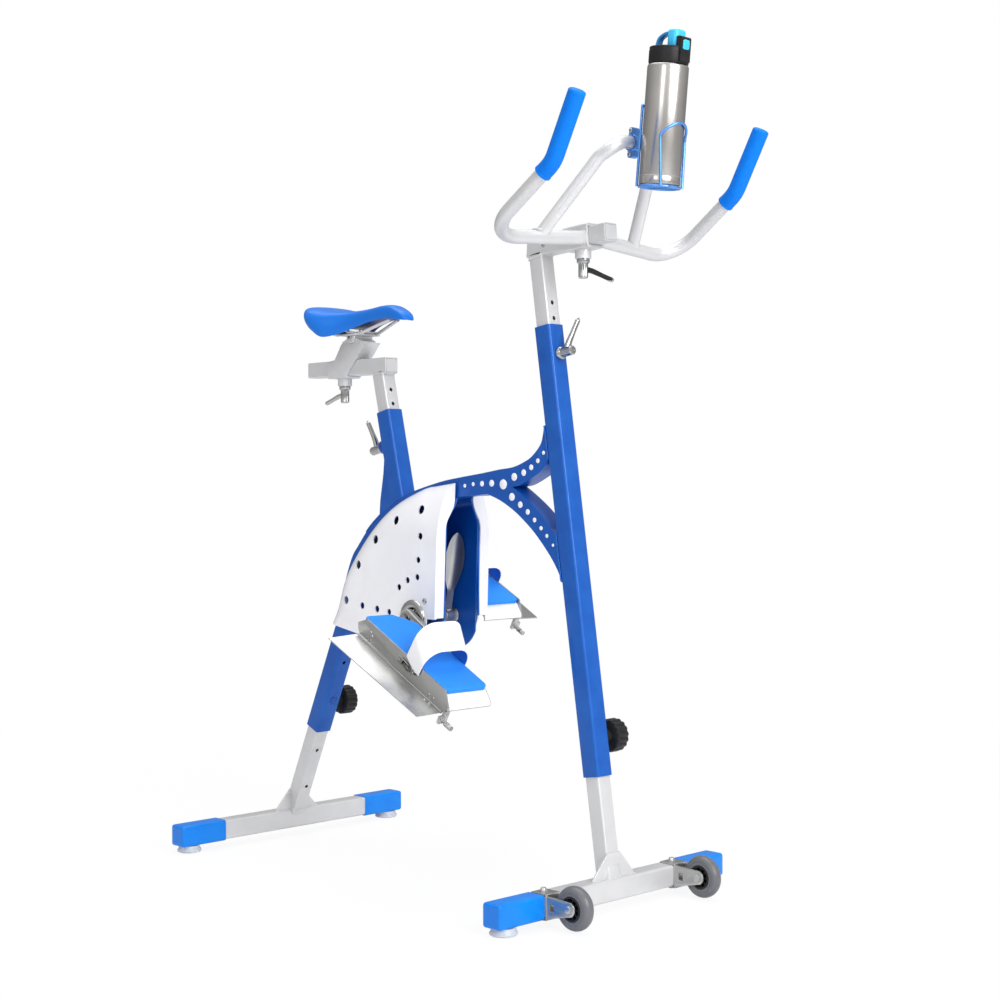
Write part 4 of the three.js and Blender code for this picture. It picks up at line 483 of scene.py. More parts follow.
def put(name, mesh, matrix, body, look, stands_for=(), edge=0.4, angle=35, rounds=2):
    mesh.transform(matrix)
    bmesh.ops.recalc_face_normals(mesh, faces=mesh.faces)
    data = bpy.data.meshes.new(name)
    mesh.to_mesh(data)
    mesh.free()
    thing = bpy.data.objects.new(name, data)
    bpy.context.scene.collection.objects.link(thing)
    data.materials.append(look)
    data.shade_smooth()
    if edge:
        easing = thing.modifiers.new("eased edges", "BEVEL")
        easing.width = edge / 1000
        easing.segments = rounds
        easing.limit_method = "ANGLE"
        easing.angle_limit = math.radians(angle)
        easing.harden_normals = True
        easing.use_clamp_overlap = True
    else:
        data.set_sharp_from_angle(angle=math.radians(angle))
    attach(thing, body)
    if stands_for:
        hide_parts(*((stands_for,) if isinstance(stands_for, str) else stands_for))
    return thing


def dressed(node_name, body, look, edge=0.5, angle=30):
    mesh = bmesh.new()
    mesh.from_mesh(frame["nodes"][node_name].data)
    bmesh.ops.remove_doubles(mesh, verts=mesh.verts, dist=2e-6)
    bmesh.ops.recalc_face_normals(mesh, faces=mesh.faces)
    bmesh.ops.dissolve_limit(mesh, angle_limit=math.radians(0.5), verts=mesh.verts, edges=mesh.edges)
    return put(node_name + "_skin", mesh, Matrix.Identity(4), body, look, node_name, edge, angle)


def weld(points, radius=1.8):
    path = rounded_path(points, 3, 4)
    dense = stepped(path, 1.2) + [path[-1]]
    total = len(dense)
    return swept(dense, lambda share: circle(radius * (1 + 0.16 * math.sin(share * total * 1.6)), 8))


def drilled(leg, radius, reach, spots, tilt=90):
    cuts = [placed(rod(radius, 0, reach), moved(0, 0, along) @ turned(tilt)) for along in spots]
    return carved(leg, *cuts)


print("ready: drills, edges, weld beads and ties to the frame")

# %% [markdown]
# ## The big tubes
# The front tube, rear tube and seat tube are 40 mm square steel tube with drawn corners, open where a
# post slides in. They are pulled as tubes and drilled for the clamp screws and index pins.

# %% Front, rear and seat tubes
tube, corner, wall = 40, 5, 3
post, post_corner, post_wall = 33, 3, 2.5
knob_hole, lever_hole, index_hole = 5.5, 4.6, 4
knob_height, lever_drop = 70, 56
front_length = 839


def cross_hole(radius, at, reach, axis):
    turn = turned(90, "Y") if axis == "x" else turned(-90, "X")
    return placed(rod(radius, 0, reach), moved(0, 0, at) @ turn)


front_tube = carved(
    square_tube(tube, corner, wall, 0, front_length),
    cross_hole(knob_hole, knob_height, tube, "y"),
    cross_hole(lever_hole, front_length - lever_drop, tube, "x"),
)
put("front_tube_skin", front_tube, front_tube_frame, "frame", frame_blue, "front_tube", 0.6)
rear_from, rear_to = 228, 510
rear_knob, plug_height, high_hole = 292, 306.4, 397.4
rear_tube = carved(
    square_tube(tube, corner, wall, rear_from, rear_to),
    cross_hole(knob_hole, rear_knob, tube, "y"), cross_hole(9, plug_height, tube, "x"),
    cross_hole(index_hole, high_hole, tube, "x"),
)
put("rear_tube_skin", rear_tube, rear_leg_frame, "frame", frame_blue, "rear_tube", 0.6)
rear_plug = spun([(0, 0), (8.4, 0), (8.4, 1), (7.6, 1.8), (0, 2.2)], 32)
placed(rear_plug, moved(19.2, 0, plug_height) @ turned(90))
put("rear_tube_plug", rear_plug, rear_leg_frame, "frame", frame_blue, edge=0)
seat_lever_drop, boss_reach = 68, 36
seat_tube = square_tube(tube - 0.4, corner, wall, -225, 0, floor=-172)
seat_tube = drilled(seat_tube, lever_hole, boss_reach, [-seat_lever_drop], -90)
put("seat_tube_skin", seat_tube, seat_tube_frame, "frame", frame_blue, "seat_tube", 0.6)
flare = [(-19, -98), (-20, -104), (-28, -127), (-39, -152), (-50, -177), (-62, -214), (18, -240), (18, -135)]
tube_foot = prism(flare, -19.6, 19.6)
put("seat_tube_foot", tube_foot, seat_tube_frame, "frame", frame_blue, edge=2.5, rounds=3)
boss = spun([
    (lever_hole, 17), (14, 17), (14, 34.8), (13, boss_reach), (lever_hole, boss_reach), (lever_hole, 17),
])
boss_frame = seat_tube_frame @ moved(0, 0, -seat_lever_drop) @ turned(-90)
put("seat_tube_boss", boss, boss_frame, "frame", frame_blue, edge=0)
print("three tubes and a boss")

# %% [markdown]
# ## The arched beam
# The arch is one plate form: it follows the casing, then forks into two arms that hold the front tube
# round a window. Its outline is a smooth line through measured points, given as shares of the casing's
# radius round the crank.

# %% Arched beam
casing = 254
outer_line = [
    (0.555, 1.12), (0.331, 1.092), (0.102, 1.057), (-0.209, 0.984), (-0.4, 0.915), (-0.526, 0.85),
    (-0.66, 0.764), (-0.78, 0.667), (-0.906, 0.531), (-0.984, 0.437), (-1.067, 0.252), (-1.138, 0.055),
]
upper_arm = [
    (0.776, 1.152), (0.915, 1.168), (1.032, 1.205), (1.116, 1.248), (1.2, 1.328), (1.229, 1.401),
    (1.24, 1.472),
]
lower_arm = [
    (1.421, 0.329), (1.37, 0.421), (1.299, 0.516), (1.197, 0.626), (1.094, 0.72), (0.935, 0.835),
    (0.776, 0.917), (0.634, 0.965),
]
inner_line = [
    (0.476, 0.949), (0.331, 0.941), (0.1, 0.895), (-0.15, 0.83), (-0.42, 0.71), (-0.61, 0.565),
    (-0.76, 0.395), (-0.86, 0.225), (-0.92, 0.07), (-0.978, -0.055),
]
window_top = [(0.906, 1.02), (0.98, 1.032), (1.07, 1.066), (1.2, 1.13), (1.26, 1.185)]
window_foot = [(1.31, 0.71), (1.24, 0.788), (1.13, 0.878), (1.0, 0.965), (0.906, 1.02)]
window_corners = (1.224, 0.691)
paint_gap = 0.3


def on_casing(share, grow=0):
    return crank.x + share[0] * (casing + grow), crank.z + share[1] * (casing + grow)


def casing_line(shares, count, grow=0):
    return smooth_line([on_casing(share, grow) for share in shares], count)


def behind_tube(z):
    lean = math.radians(front_lean)
    rear_face = front_tube_x - tube / 2 / math.cos(lean)
    return rear_face - (z - front_tube_z) * math.tan(lean) - paint_gap, z


def rear_corner(offset):
    lean = math.radians(rear_lean)
    along = rear_to + paint_gap
    x = rear_bar_x + along * math.sin(lean) + offset * math.cos(lean)
    return x, bar_height + along * math.cos(lean) - offset * math.sin(lean)


outline = casing_line(upper_arm, 28)[:-1] + [behind_tube(on_casing(upper_arm[-1])[1])]
outline += [behind_tube(crank.z + window_corners[0] * casing)] + casing_line(window_top, 16)[::-1]
outline += casing_line(window_foot, 16)[::-1][1:] + [behind_tube(crank.z + window_corners[1] * casing)]
outline += [behind_tube(on_casing(lower_arm[0])[1])]
outline += [(x, z) for x, z in casing_line(lower_arm, 36)[1:] if x < behind_tube(z)[0]]
outline += casing_line(inner_line, 48)[:-1] + [rear_corner(tube / 2), rear_corner(-tube / 2)]
outline += casing_line(outer_line, 60)[:-1][::-1]
big_x, big_z = on_casing((0.811, 1.039))
beam = prism(outline, -20, 20)
put("main_beam_skin", beam, millimetres, "frame", frame_blue, "main_beam", 2.2, rounds=3)
print(len(outline), "outline points")

# %% [markdown]
# ## Plugs and weld beads
# White plugs close the drain holes along both sides of the beam and its arms. Where two tubes meet, a
# weld bead with its small ripples runs round the joint under the paint.

# %% Plugs and welds
plug_spots = [
    (-363, 767, 3.7), (-339, 770, 3.9), (-314, 771, 5.3), (-287, 772, 6.5), (-225, 784, 7.4),
    (-199.5, 792, 6.1),
    (-179.5, 802, 5.3), (-162, 814, 4.5), (-147, 829, 3.7), (-231.5, 746, 7.4), (-209, 731.5, 6.1),
    (-189, 718, 5.3),
    (-171, 703, 4.5), (-154, 688, 4.1), (-139, 674, 3.7), (-123, 657, 2.9), (big_x, big_z, 9.6),
]
for name, side in sides:
    plugs = []
    for x, z, r in plug_spots:
        crown = spun([(0, -2), (r, -2), (r, 0.4), (r - 1, 1.1), (0, 1.3)], 32)
        plugs.append(placed(crown, moved(x, side * 20, z) @ turned(-90 * side, "X")))
    put(f"beam_plugs_{name}", joined(*plugs), millimetres, "frame", plug_white, edge=0)


def bead_round(high, low, drop=1):
    (x0, z0), (x1, z1) = high, low
    return weld([(x0, -19.5, z0), (x1, -19.5, z1), (x1, 19.5, z1), (x0, 19.5, z0), (x0, -19, z0 - drop)])


window_high, window_low = (crank.z + share * casing for share in window_corners)
beads = [
    bead_round(behind_tube(on_casing(upper_arm[-1])[1] - 1), behind_tube(window_high + 1)),
    bead_round(behind_tube(window_low - 1), behind_tube(on_casing(lower_arm[0])[1] + 1)),
    bead_round(rear_corner(19.5), rear_corner(-19.5), drop=0),
]
foot_edge = [point for point in casing_line(outer_line, 60) if -664 < point[0] < -547]
for side in (-19.8, 19.8):
    beads.append(weld([(x, side, z + 0.5) for x, z in foot_edge], 1.6))
put("frame_welds", joined(*beads), millimetres, "frame", frame_blue, edge=0, angle=60)
print(len(plug_spots), "plugs a side and", len(beads), "weld beads")

# %% [markdown]
# ## The casing
# White covers are moulded dishes: a rim against the beam, a domed shoulder and a flat face with round
# holes. In front each turns in as a flange round the opening where water comes out. A blue inner shell
# stands behind, with a rolled rim. Each is a dish solid with a smaller one taken out, so that the skin
# has a true thickness.

# %% Covers and inner shells
rim_line = [
    (0.453, 1.083), (0.323, 1.055), (0.106, 1.028), (-0.063, 1), (-0.346, 0.886), (-0.567, 0.724),
    (-0.807, 0.476), (-0.949, 0.252), (-1.047, 0.031), (-1.13, -0.173), (-1.19, -0.4),
]
face_line = [
    (0.5, 0.48), (0.4, 0.53), (0.25, 0.59), (0.079, 0.65), (-0.236, 0.65), (-0.472, 0.551),
    (-0.63, 0.394), (-0.764, 0.252), (-0.846, 0), (-0.965, -0.138), (-1.02, -0.4),
]
cover_holes = [
    (0.066, 0.842, 9), (-0.213, 0.755, 9), (-0.45, 0.6, 9), (-0.665, 0.392, 9), (-0.82, 0.1, 8.6),
    (-0.614, 0.065, 7),
    (-0.429, 0.047, 7), (-0.283, 0.031, 6.4), (-0.161, 0.232, 6.4), (-0.059, 0.291, 6.4), (0.055, 0.319, 6.4),
    (0.067, 0.453, 6.4), (0.091, 0.638, 7),
]
casing_front, front_slope = -391, math.tan(math.radians(2.4))


def dish(rim, face, side, rim_depth, face_depth, rings=18):
    skirt, ahead = crank.z - casing * 0.7, crank.x + casing * 0.6
    levels = []
    for k in range(rings + 1):
        angle = math.pi / 2 * k / rings
        out = math.cos(angle)
        y = side * (rim_depth + (face_depth - rim_depth) * math.sin(angle))
        ring = [(f[0] + (r[0] - f[0]) * out, y, f[1] + (r[1] - f[1]) * out) for r, f in zip(rim, face)]
        levels.append(ring + [(ring[-1][0], y, skirt), (ahead, y, skirt), (ahead, y, ring[0][2])])
    return skin_over(levels)


def ahead_of(inset):
    low, high = crank.z - casing, crank.z + 2 * casing
    at = [casing_front - inset + (z - crank.z - casing / 2) * front_slope for z in (low, high)]
    return prism([(at[0], low), (0, low), (0, high), (at[1], high)], -past_casing, past_casing)


def under(radius):
    path = arc(radius, 0, -99.8, 40, (crank.x, crank.z))
    rise, reach = math.radians(9.8), 2 * casing
    rear = (path[-1][0] - reach * math.cos(rise), path[-1][1] + reach * math.sin(rise))
    below = [rear, (rear[0], crank.z - reach), (0, crank.z - reach)]
    return prism([(0, crank.z)] + path + below, -past_casing, past_casing)


def side_drill(side, radius, start, x, z, steps=32, length=60):
    return across(placed(rod(radius, 0, length, steps), moved(x, -z, 0)), start if side > 0 else -start - length)


def drawn_in(line, share=0.93):
    return [(crank.x + (x - crank.x) * share, crank.z + (z - crank.z) * share) for x, z in line]


past_casing, line_points = 98, 70
opening_side = rounded_path([(47, 0, 0), (47, 0, 692), (25, 0, 729), (20.5, 0, 1014)], 40, 10)
opening_outline = [(p.x, p.z) for p in opening_side] + [(-p.x, p.z) for p in opening_side[::-1]]
below_hub = [(0, crank.z), *arc(40, 0, -90, 20, (crank.x, crank.z)), (crank.x, 300), (0, 300)]
for name, side in sides:
    hollow = dish(casing_line(rim_line, line_points, -3), casing_line(face_line, line_points, -3), side, 17.3, 68)
    opening = placed(prism(opening_outline, 0, -crank.x), moved(crank.x, 0, 0) @ turned(-90, "Z"))
    holes = [side_drill(side, r, 40, *on_casing((u, v))) for u, v, r in cover_holes]
    cover = carved(
        dish(casing_line(rim_line, line_points), casing_line(face_line, line_points), side, 20.3, 71),
        ahead_of(0), carved(hollow, ahead_of(3)), under(70), opening,
        slab((-402, -66, 400), (-380, 66, crank.z + 2)), prism(below_hub, -past_casing, past_casing),
        joined(*holes), side_drill(side, 26.3, 40, crank.x, crank.z, 64),
    )
    put(f"cover_{name}_skin", cover, millimetres, "frame", white, f"cover_{name}", 0.8)
    shell_rim, shell_inner = (casing_line(rim_line, line_points, grow) for grow in (-29.2, -32.2))
    shell = carved(
        dish(shell_rim, drawn_in(shell_rim), side, 20.3, 44), ahead_of(3.3),
        dish(shell_inner, drawn_in(shell_inner), side, 17.3, 41), under(67),
        side_drill(side, 11.6, 3, crank.x, crank.z, 40),
    )
    put(
        f"casing_shell_{name}_skin", shell, millimetres, "frame",
        frame_blue, f"casing_shell_{name}", 0.6,
    )
print(len(cover_holes), "holes in each cover")

# %% [markdown]
# ## Hub cups, screws and the rolled rim
# A chromed cup closes each cover round the shaft. Turned on a lathe, it is a flange, a deep bore and a
# polished lip. One screw holds the cover beside it. The blue shell's front edge is rolled along the
# opening, so a bright line shows.

# %% Hub cups and rims
cup_profile = [
    (11.1, 44.3), (26, 44.3), (26, 71.3), (35.2, 71.3), (36, 72), (35.6, 73), (33, 75.2), (31.4, 75.9),
    (24, 75.9), (21.5, 75.2), (19.8, 73), (18.7, 70), (17.6, 62), (15.5, 60.5), (11.1, 60.5), (11.1, 44.3),
]
screw_profile = [(0, 70), (6.2, 70), (6.2, 71.8), (4.6, 73.6), (1.8, 74.2), (1.6, 73), (0, 73)]
for name, side in sides:
    facing = turned(-90 * side, "X")
    cup_frame = millimetres @ moved(*crank) @ facing
    put(f"hub_cup_{name}_skin", spun(cup_profile, 96), cup_frame, "frame", chrome, f"hub_cup_{name}", 0)
    screw = placed(spun(screw_profile, 32), moved(-425, 0, 541) @ facing)
    put(f"cover_screw_{name}", screw, millimetres, "frame", chrome, edge=0)
    corners = ((-394.4, 45.4, 508), (-395, 45.4, 692), (-388, 23, 729), (-387, 19, 742))
    rim = rounded_path([(x, side * y, z) for x, y, z in corners], 40, 8)
    rolled = swept(rim, lambda share: circle(1.9, 12), (0, 1, 0))
    put(f"shell_rim_{name}", rolled, millimetres, "frame", frame_blue, edge=0)
print("cups, screws and rims on both sides")

# %% [markdown]
# ## Blades on the shaft
# Two spoons stand opposite each other on a steel shaft and push water as the cranks turn. A spoon is a
# dished oval on a tapering stem. Rings across it, each with a curved and a thin side, give the dish;
# seals keep it off the shell.

# %% Spoon blades and shaft
def spoon():
    rings = []
    for k in range(41):
        share = k / 40
        height = 5.5 + 164.5 * share
        swell = math.sin(math.pi * min(1, max(0, (share - 0.28) / 0.74)))
        tip = math.sqrt(max(0.02, 1 - max(0, (share - 0.9) / 0.1) ** 2))
        half = 38 * (0.17 + 0.33 * swell) * tip
        across_blade = [(2 * i / 16 - 1) for i in range(17)]
        front = [(half * u, 9 * swell * (1 - u * u), height) for u in across_blade]
        rings.append(front + [(x, dip + 2.4, z) for x, dip, z in front[::-1]])
    return placed(skin_over(rings), turned(40, "Z"))


up = placed(spoon(), turned(11) @ moved(0, 22, 0))
down = placed(spoon(), turned(191) @ moved(0, -22, 0) @ turned(180, "Z"))
seal = [(0, -1.5), (14, -1.5), (15, -0.5), (15, 0.5), (14, 1.5), (0, 1.5)]
neck = [(11, -9), (13.5, -8), (13.5, 8), (11, 9)]
turned_parts = [across(rod(11, -92, 92, 48, 1))]
for profile, steps, distance in ((seal, 48, 38.5), (neck, 40, 22)):
    turned_parts += [across(spun(profile, steps), distance * side) for name, side in sides]
impeller = joined(up, down, *turned_parts)
put("impeller_skin", impeller, millimetres @ moved(*crank), "crank", steel, "impeller_shaft", 0, 40)
print("two blades, one shaft, two seals")

# %% [markdown]
# ## Crank arms
# Each arm is cut from 12 mm plate: a large eye on the shaft, a smaller one at the pedal pin, and straight
# flanks between. A nut closes the large eye and the pin runs out through the pedal.

# %% Crank arms
arm_length, shaft_eye, pin_eye = 130, 19, 14


def arm_outline():
    lean = math.degrees(math.asin((shaft_eye - pin_eye) / arm_length))
    return arc(shaft_eye, 90 - lean, 270 + lean, 32) + arc(pin_eye, lean - 90, 90 - lean, 32, (arm_length, 0))


for (name, side), angle in zip(sides, (31.2, 211.2)):
    arm_frame = millimetres @ moved(*crank) @ turned(angle)
    plate = carved(prism(arm_outline(), *sorted((side * 78, side * 90))), across(rod(11.3, -100, 100, 48)))
    put(f"crank_arm_{name}_skin", plate, arm_frame, "crank", steel, f"crank_arm_{name}", 1.6, rounds=3)
    at_pin = [across(rod(7, 84, 196, 32, 1)), across(rod(10.5, 90, 94.2, 40, 0.6))]
    at_shaft = [across(rod(13.5, 90, 92.4, 40, 0.8)), across(rod(9.5, 90, 97, 6))]
    hardware = joined(*[placed(part, moved(arm_length, 0, 0)) for part in at_pin], *at_shaft)
    if side < 0:
        placed(hardware, mirror)
    put(f"crank_pin_{name}", hardware, arm_frame, "crank", chrome, edge=0)
print("arms", arm_length, "mm long")

# %% [markdown]
# ## Pedals
# A pedal is a folded steel pan with a foam pad, a toe plate and a wide strap with a ratchet buckle. A
# hinged fin along its outer edge doubles its width in the water, and a sprung plunger locks it. The
# folded sheet is the CAD's own form.

# %% Pedal pans and pads
pan_top, pan_outer, wall_outer = 14, 203, 205.5
pad_outline = [(-87, 98.3), (138, 98.3), (138, 202.7), (-125, 202.7), (-125, 136.3)]
toe_outline = [
    (134, 14.3), (137.6, 14.3), (159.4, 0.3), (161.4, -5), (160.2, -5.4), (158.4, -0.4), (137, 13), (134, 13),
]
leaf_head = [(0, 0), (3.4, 0), (3, 1.3), (1.2, 1.9), (0, 1.9)]
wall_head = [(0, 0), (3, 0), (2.6, 1.2), (0, 1.6)]
plunger_profile = [
    (0.01, 147.5, 0), (3, 147.5, 0), (3, 160, 0), (3, 163, 0), (4.6, 163, 0), (5, 163.6, 1), (5, 180.5, 1),
    (4.4, 181.8, 0), (0.01, 182, 0),
]


def pad_mesh(side):
    corners = [(x, y, 0) for x, y in pad_outline + pad_outline[:2]]
    path = rounded_path(corners, 9, 6)[1:-1]
    middle = sum(path, Vector()) / len(path)
    rings = []
    for inset, z in ((1.2, 0), (0, 1.2), (0, 8), (0.8, 9.3), (2.4, 10), (9, 10.15)):
        drawn = [point.lerp(middle, inset / 60) for point in path]
        rings.append([(point.x, side * point.y, pan_top + 0.3 + z) for point in drawn])
    return skin_over(rings)


for name, side in sides:
    here, body = pedal_frames[name], f"pedal_{name}"
    dressed(f"pedal_pan_{name}", body, steel, 0.35)
    pad = put(f"foot_pad_{name}_skin", pad_mesh(side), here, body, foam_blue, f"foot_pad_{name}", 0, 50)
    along_hinge = (-98, -88, 102, 116)
    leaf_screws = [placed(spun(leaf_head, 20), moved(x, side * 211, -17.6)) for x in along_hinge]
    put(f"fin_screws_{name}", joined(*leaf_screws), here, f"fin_{name}", chrome, edge=0)
    facing = turned(-90 * side, "X")
    wall_screws = [placed(spun(wall_head, 20), moved(x, side * wall_outer, -8) @ facing) for x in along_hinge]
    put(f"wall_screws_{name}", joined(*wall_screws), here, body, chrome, edge=0)
    toe = prism(toe_outline, *sorted((side * 99.5, side * 202)))
    put(f"toe_plate_{name}", toe, here, body, strap_white, edge=0.4)
    dressed(f"pedal_fin_{name}", f"fin_{name}", steel, 0.3)
    plunger, own = fluted(plunger_profile, 20, 0.5, 4), f"plunger_{name}"
    placed(plunger, moved(0, side * pan_outer, -32) @ turned(90))
    put(f"{own}_skin", plunger, here, own, chrome, own, 0)
print("pads, hinge screws, fins and plungers")

# %% [markdown]
# ## Foot straps and buckles
# The strap is a wide white band that arches over the foot, with a blue lining inside. It slants forward,
# so its front edge stands over the toes. It is one band swept along an arch, and the buckle's toothed
# plates are riveted outside.

# %% Straps
strap_in, strap_out, strap_rise, strap_band = 95.2, 208.3, 76, 57
lean, slant = math.radians(5.7), math.radians(41.3)


def strap_matrix(side):
    rise = Vector((math.sin(lean), 0, math.cos(lean)))
    band = Vector((math.cos(slant), 0, -math.sin(slant)))
    rows = Matrix((Vector((0, side, 0)), rise, band)).transposed()
    return moved(19, side * strap_in, pan_top + 10) @ rows.to_4x4()


def strap_mesh(outset, thickness, low, high, sink=20):
    span = strap_out - strap_in
    arch = rounded_path([(0, -sink, 0), (0, strap_rise, 0), (span, strap_rise, 0), (span, -sink, 0)], 36, 12)
    mesh = bmesh.new()
    lines = []
    for offset, z in ((outset, low), (outset, high), (outset + thickness, high), (outset + thickness, low)):
        row = []
        for i, point in enumerate(arch):
            ahead = (arch[min(i + 1, len(arch) - 1)] - arch[max(i - 1, 0)]).normalized()
            inward = Vector((ahead.y, -ahead.x, 0))
            row.append(mesh.verts.new(point + inward * offset + Vector((0, 0, z))))
        lines.append(row)
    for a, b in zip(lines, lines[1:] + lines[:1]):
        for i in range(len(a) - 1):
            mesh.faces.new((a[i], a[i + 1], b[i + 1], b[i]))
    mesh.faces.new([row[0] for row in lines])
    mesh.faces.new([row[-1] for row in lines][::-1])
    return mesh


def below_strap(side):
    foot = [(-38, 24), (19, 24), (47.5, 9), (133, 9), (133, -57), (-38, -57)]
    return prism(foot, *sorted((side * 47, side * 278)))


def buckle():
    parts = []
    for x, width, length, tilt in ((20, 13, 34, 0), (26, 9, 22, 8), (41, 11, 20, -6)):
        plate = slab((-length / 2, 0, -width / 2), (length / 2, 1.6, width / 2))
        parts.append(placed(plate, moved(x, 0, 0) @ turned(tilt)))
    parts += [placed(across(rod(2.6, 0, 3.4, 16, 0.6)), moved(x, 0, 0)) for x in (6, 34, 50)]
    parts += [slab((20 + 2.6 * i, 2.2, -3.2), (21.3 + 2.6 * i, 3.4, 3.2)) for i in range(9)]
    return joined(*parts)


for name, side in sides:
    here, body = pedal_frames[name], f"pedal_{name}"
    for part, look, numbers, stands in (
        ("strap", strap_white, (0, 1.3, 0, strap_band), f"foot_strap_{name}"),
        ("lining", lining, (1.35, 1.05, 1, strap_band - 1), ()),
    ):
        band = carved(placed(strap_mesh(*numbers), strap_matrix(side)), below_strap(side))
        put(f"foot_{part}_{name}_skin", band, here, body, look, stands, 0.4, 50)
    fastener = placed(buckle(), mirror) if side < 0 else buckle()
    placed(fastener, moved(0, side * 208.6, 9) @ turned(4))
    put(f"strap_buckle_{name}", fastener, here, body, chrome, edge=0.3)
print("straps", strap_band, "mm wide")

# %% [markdown]
# ## The two stands
# Each stand is a crossbar with a post welded on top and a gusset plate on either side of it. The post
# leans and slides in its tube, and holes along the rear one take the index pin. Bright caps close the
# bar, with soft feet under them.

# %% Crossbars, posts and gussets
base_length = 600
bar_half = base_length / 2 - 3.3


def stand(name, bar_frame, lean, start, high, gusset_x, holes, bolts):
    def add(part, mesh, matrix, edge, stands_for=(), angle=35):
        put(f"{name}_{part}", mesh, matrix, name, silver, stands_for, edge, angle)

    bar = placed(square_tube(tube, corner, 3, -bar_half, bar_half), turned(90, "X"))
    add("skin", carved(bar, *[placed(rod(3.4, -30, 30), moved(0, y, 0)) for y in bolts]), bar_frame, 0.6, name)
    leg = drilled(square_tube(post, post_corner, post_wall, 18, high), index_hole, post, holes)
    add("post", leg, bar_frame @ moved(start, 0, 0) @ turned(lean), 0.6)
    web = prism([(-58.5, 19), (58.5, 19), (16.5, 66), (-16.5, 66)], 0, 4)
    add("gusset", placed(web, moved(gusset_x + 4, 0, 0) @ turned(90, "Z")), bar_frame, 0.8)
    half, top, slope = 16.5, 20.4, math.radians(lean)
    rear, front = (start + top * math.tan(slope) + end * half / math.cos(slope) for end in (-1, 1))
    corners = ((rear, -half), (front, -half), (front, half), (rear, half), (rear, 1 - half))
    ring = [(x, y, top) for x, y in corners]
    beads = [weld(ring, 2)]
    for side in (-1, 1):
        beads.append(weld([(gusset_x + 4.6, side * y, top) for y in (57, 18)], 1.5))
    add("welds", joined(*beads), bar_frame, 0, angle=60)


front_bar = millimetres @ moved(0, 0, bar_height)
rear_bar = millimetres @ moved(rear_bar_x, 0, bar_height)
wheel_y = base_length / 2 - 128
stand("front_stand", front_bar, -front_lean, -0.495, 361.9, 5.6, [], [-wheel_y, wheel_y])
stand("rear_stand", rear_bar, rear_lean, 0, 388, 11, [88, 179], [])
print("crossbars", base_length, "mm long")

# %% [markdown]
# ## Caps and feet
# Caps are mouldings pushed over the bar ends, softened all round. A foot is a low milky dish with a
# rolled lip, screwed under each end of a bar.

# %% Caps and feet
def cap_mesh():
    outside = softened(((0, 192), (0, 294), (0.5, 297), (1.6, 299), (3.4, 300), (8, 300)), 44, 6, 6, ease=1)
    return skin_over(softened(((0, 296), (0, 192)), 40.6, 5.3, 6) + outside)


foot_profile = [
    (0, 0), (20, 0), (22.6, 0.5), (24.3, 1.6), (25, 3.2), (24.8, 5.2), (24, 6.4), (22.4, 9.4), (21.4, 12),
    (21, 13.9), (0, 13.9),
]
for end, bar_frame in (("front", front_bar), ("rear", rear_bar)):
    for name, side in sides:
        for part, mesh, place_on_bar, look, slot in (
            ("cap", cap_mesh(), turned(-90 * side, "X"), cap_blue, "cap_blue"),
            ("foot", spun(foot_profile, 72), moved(0, side * 270, -bar_height), milky, "foot_white"),
        ):
            piece = f"{end}_{part}_{name}"
            put(f"{piece}_skin", mesh, bar_frame @ place_on_bar, f"{end}_stand", look, piece, 0, 40)
print("four caps and four feet")

# %% [markdown]
# ## Transport wheels
# A tyre is turned with a small step on its face and a ring of dimples. Nine thin spokes and a middle web
# hold the hub's rim on its boss. The steel fork keeps the CAD's folded form.

# %% Wheels
tyre_half = [
    (22.4, -11), (24, -12), (27, -12), (27.6, -11.6), (28.6, -11.6), (29.2, -12), (32, -11.6), (35, -10),
    (37.2, -7.4), (38.5, -4), (39, 0),
]
tyre_profile = tyre_half + [(r, -y) for r, y in tyre_half[-2::-1]] + tyre_half[:1]
hub_turnings = (
    ([(18.4, -11.4), (20.8, -12), (22, -11.4), (22, 11.4), (20.8, 12), (18.4, 11.4), (18.4, -11.4)], 72),
    ([(4.2, -12), (8, -12), (8.4, -11.4), (8.4, 11.4), (8, 12), (4.2, 12), (4.2, -12)], 48),
    ([(8, -2.4), (19, -2.4), (19, 2.4), (8, 2.4), (8, -2.4)], 48),
)
dimple_profile = [(0, 11.75), (1.5, 11.75), (1.5, 12.05), (0, 12.2)]
spoke_count, dimple_count = 9, 14
for name, side in sides:
    body, here = f"wheel_{name}", at_joint(f"wheel_{name}_roll") @ turned(90, "X")
    put(f"tyre_{name}_skin", spun(tyre_profile, 96), here, body, soft_grey, f"tyre_{name}", 0)
    hub = [spun(profile, steps) for profile, steps in hub_turnings]
    for i in range(spoke_count):
        hub.append(placed(slab((7.6, -1.1, -10), (19, 1.1, 10)), turned(360 * i / spoke_count, "Z")))
    put(f"wheel_hub_{name}_skin", joined(*hub), here, body, black, f"wheel_hub_{name}", 0)
    dressed(f"wheel_bracket_{name}", "front_stand", steel, 0.5)
    dimples = []
    for i in range(dimple_count):
        round_the_axle = turned(360 * i / dimple_count, "Z")
        dimples.append(placed(spun(dimple_profile, 12), round_the_axle @ moved(28.1, 0, 0)))
    outer_face = here @ turned(180, "X") if side > 0 else here
    put(f"tyre_dimples_{name}", joined(*dimples), outer_face, body, soft_grey, edge=0)
print("two wheels of", spoke_count, "spokes")

# %% [markdown]
# ## Clamp knobs
# Clamp knobs are fluted mouldings for wet hands, on a stem with the screw through it. Sixteen shallow
# flutes run round the grip, and a plug closes the middle of its face.

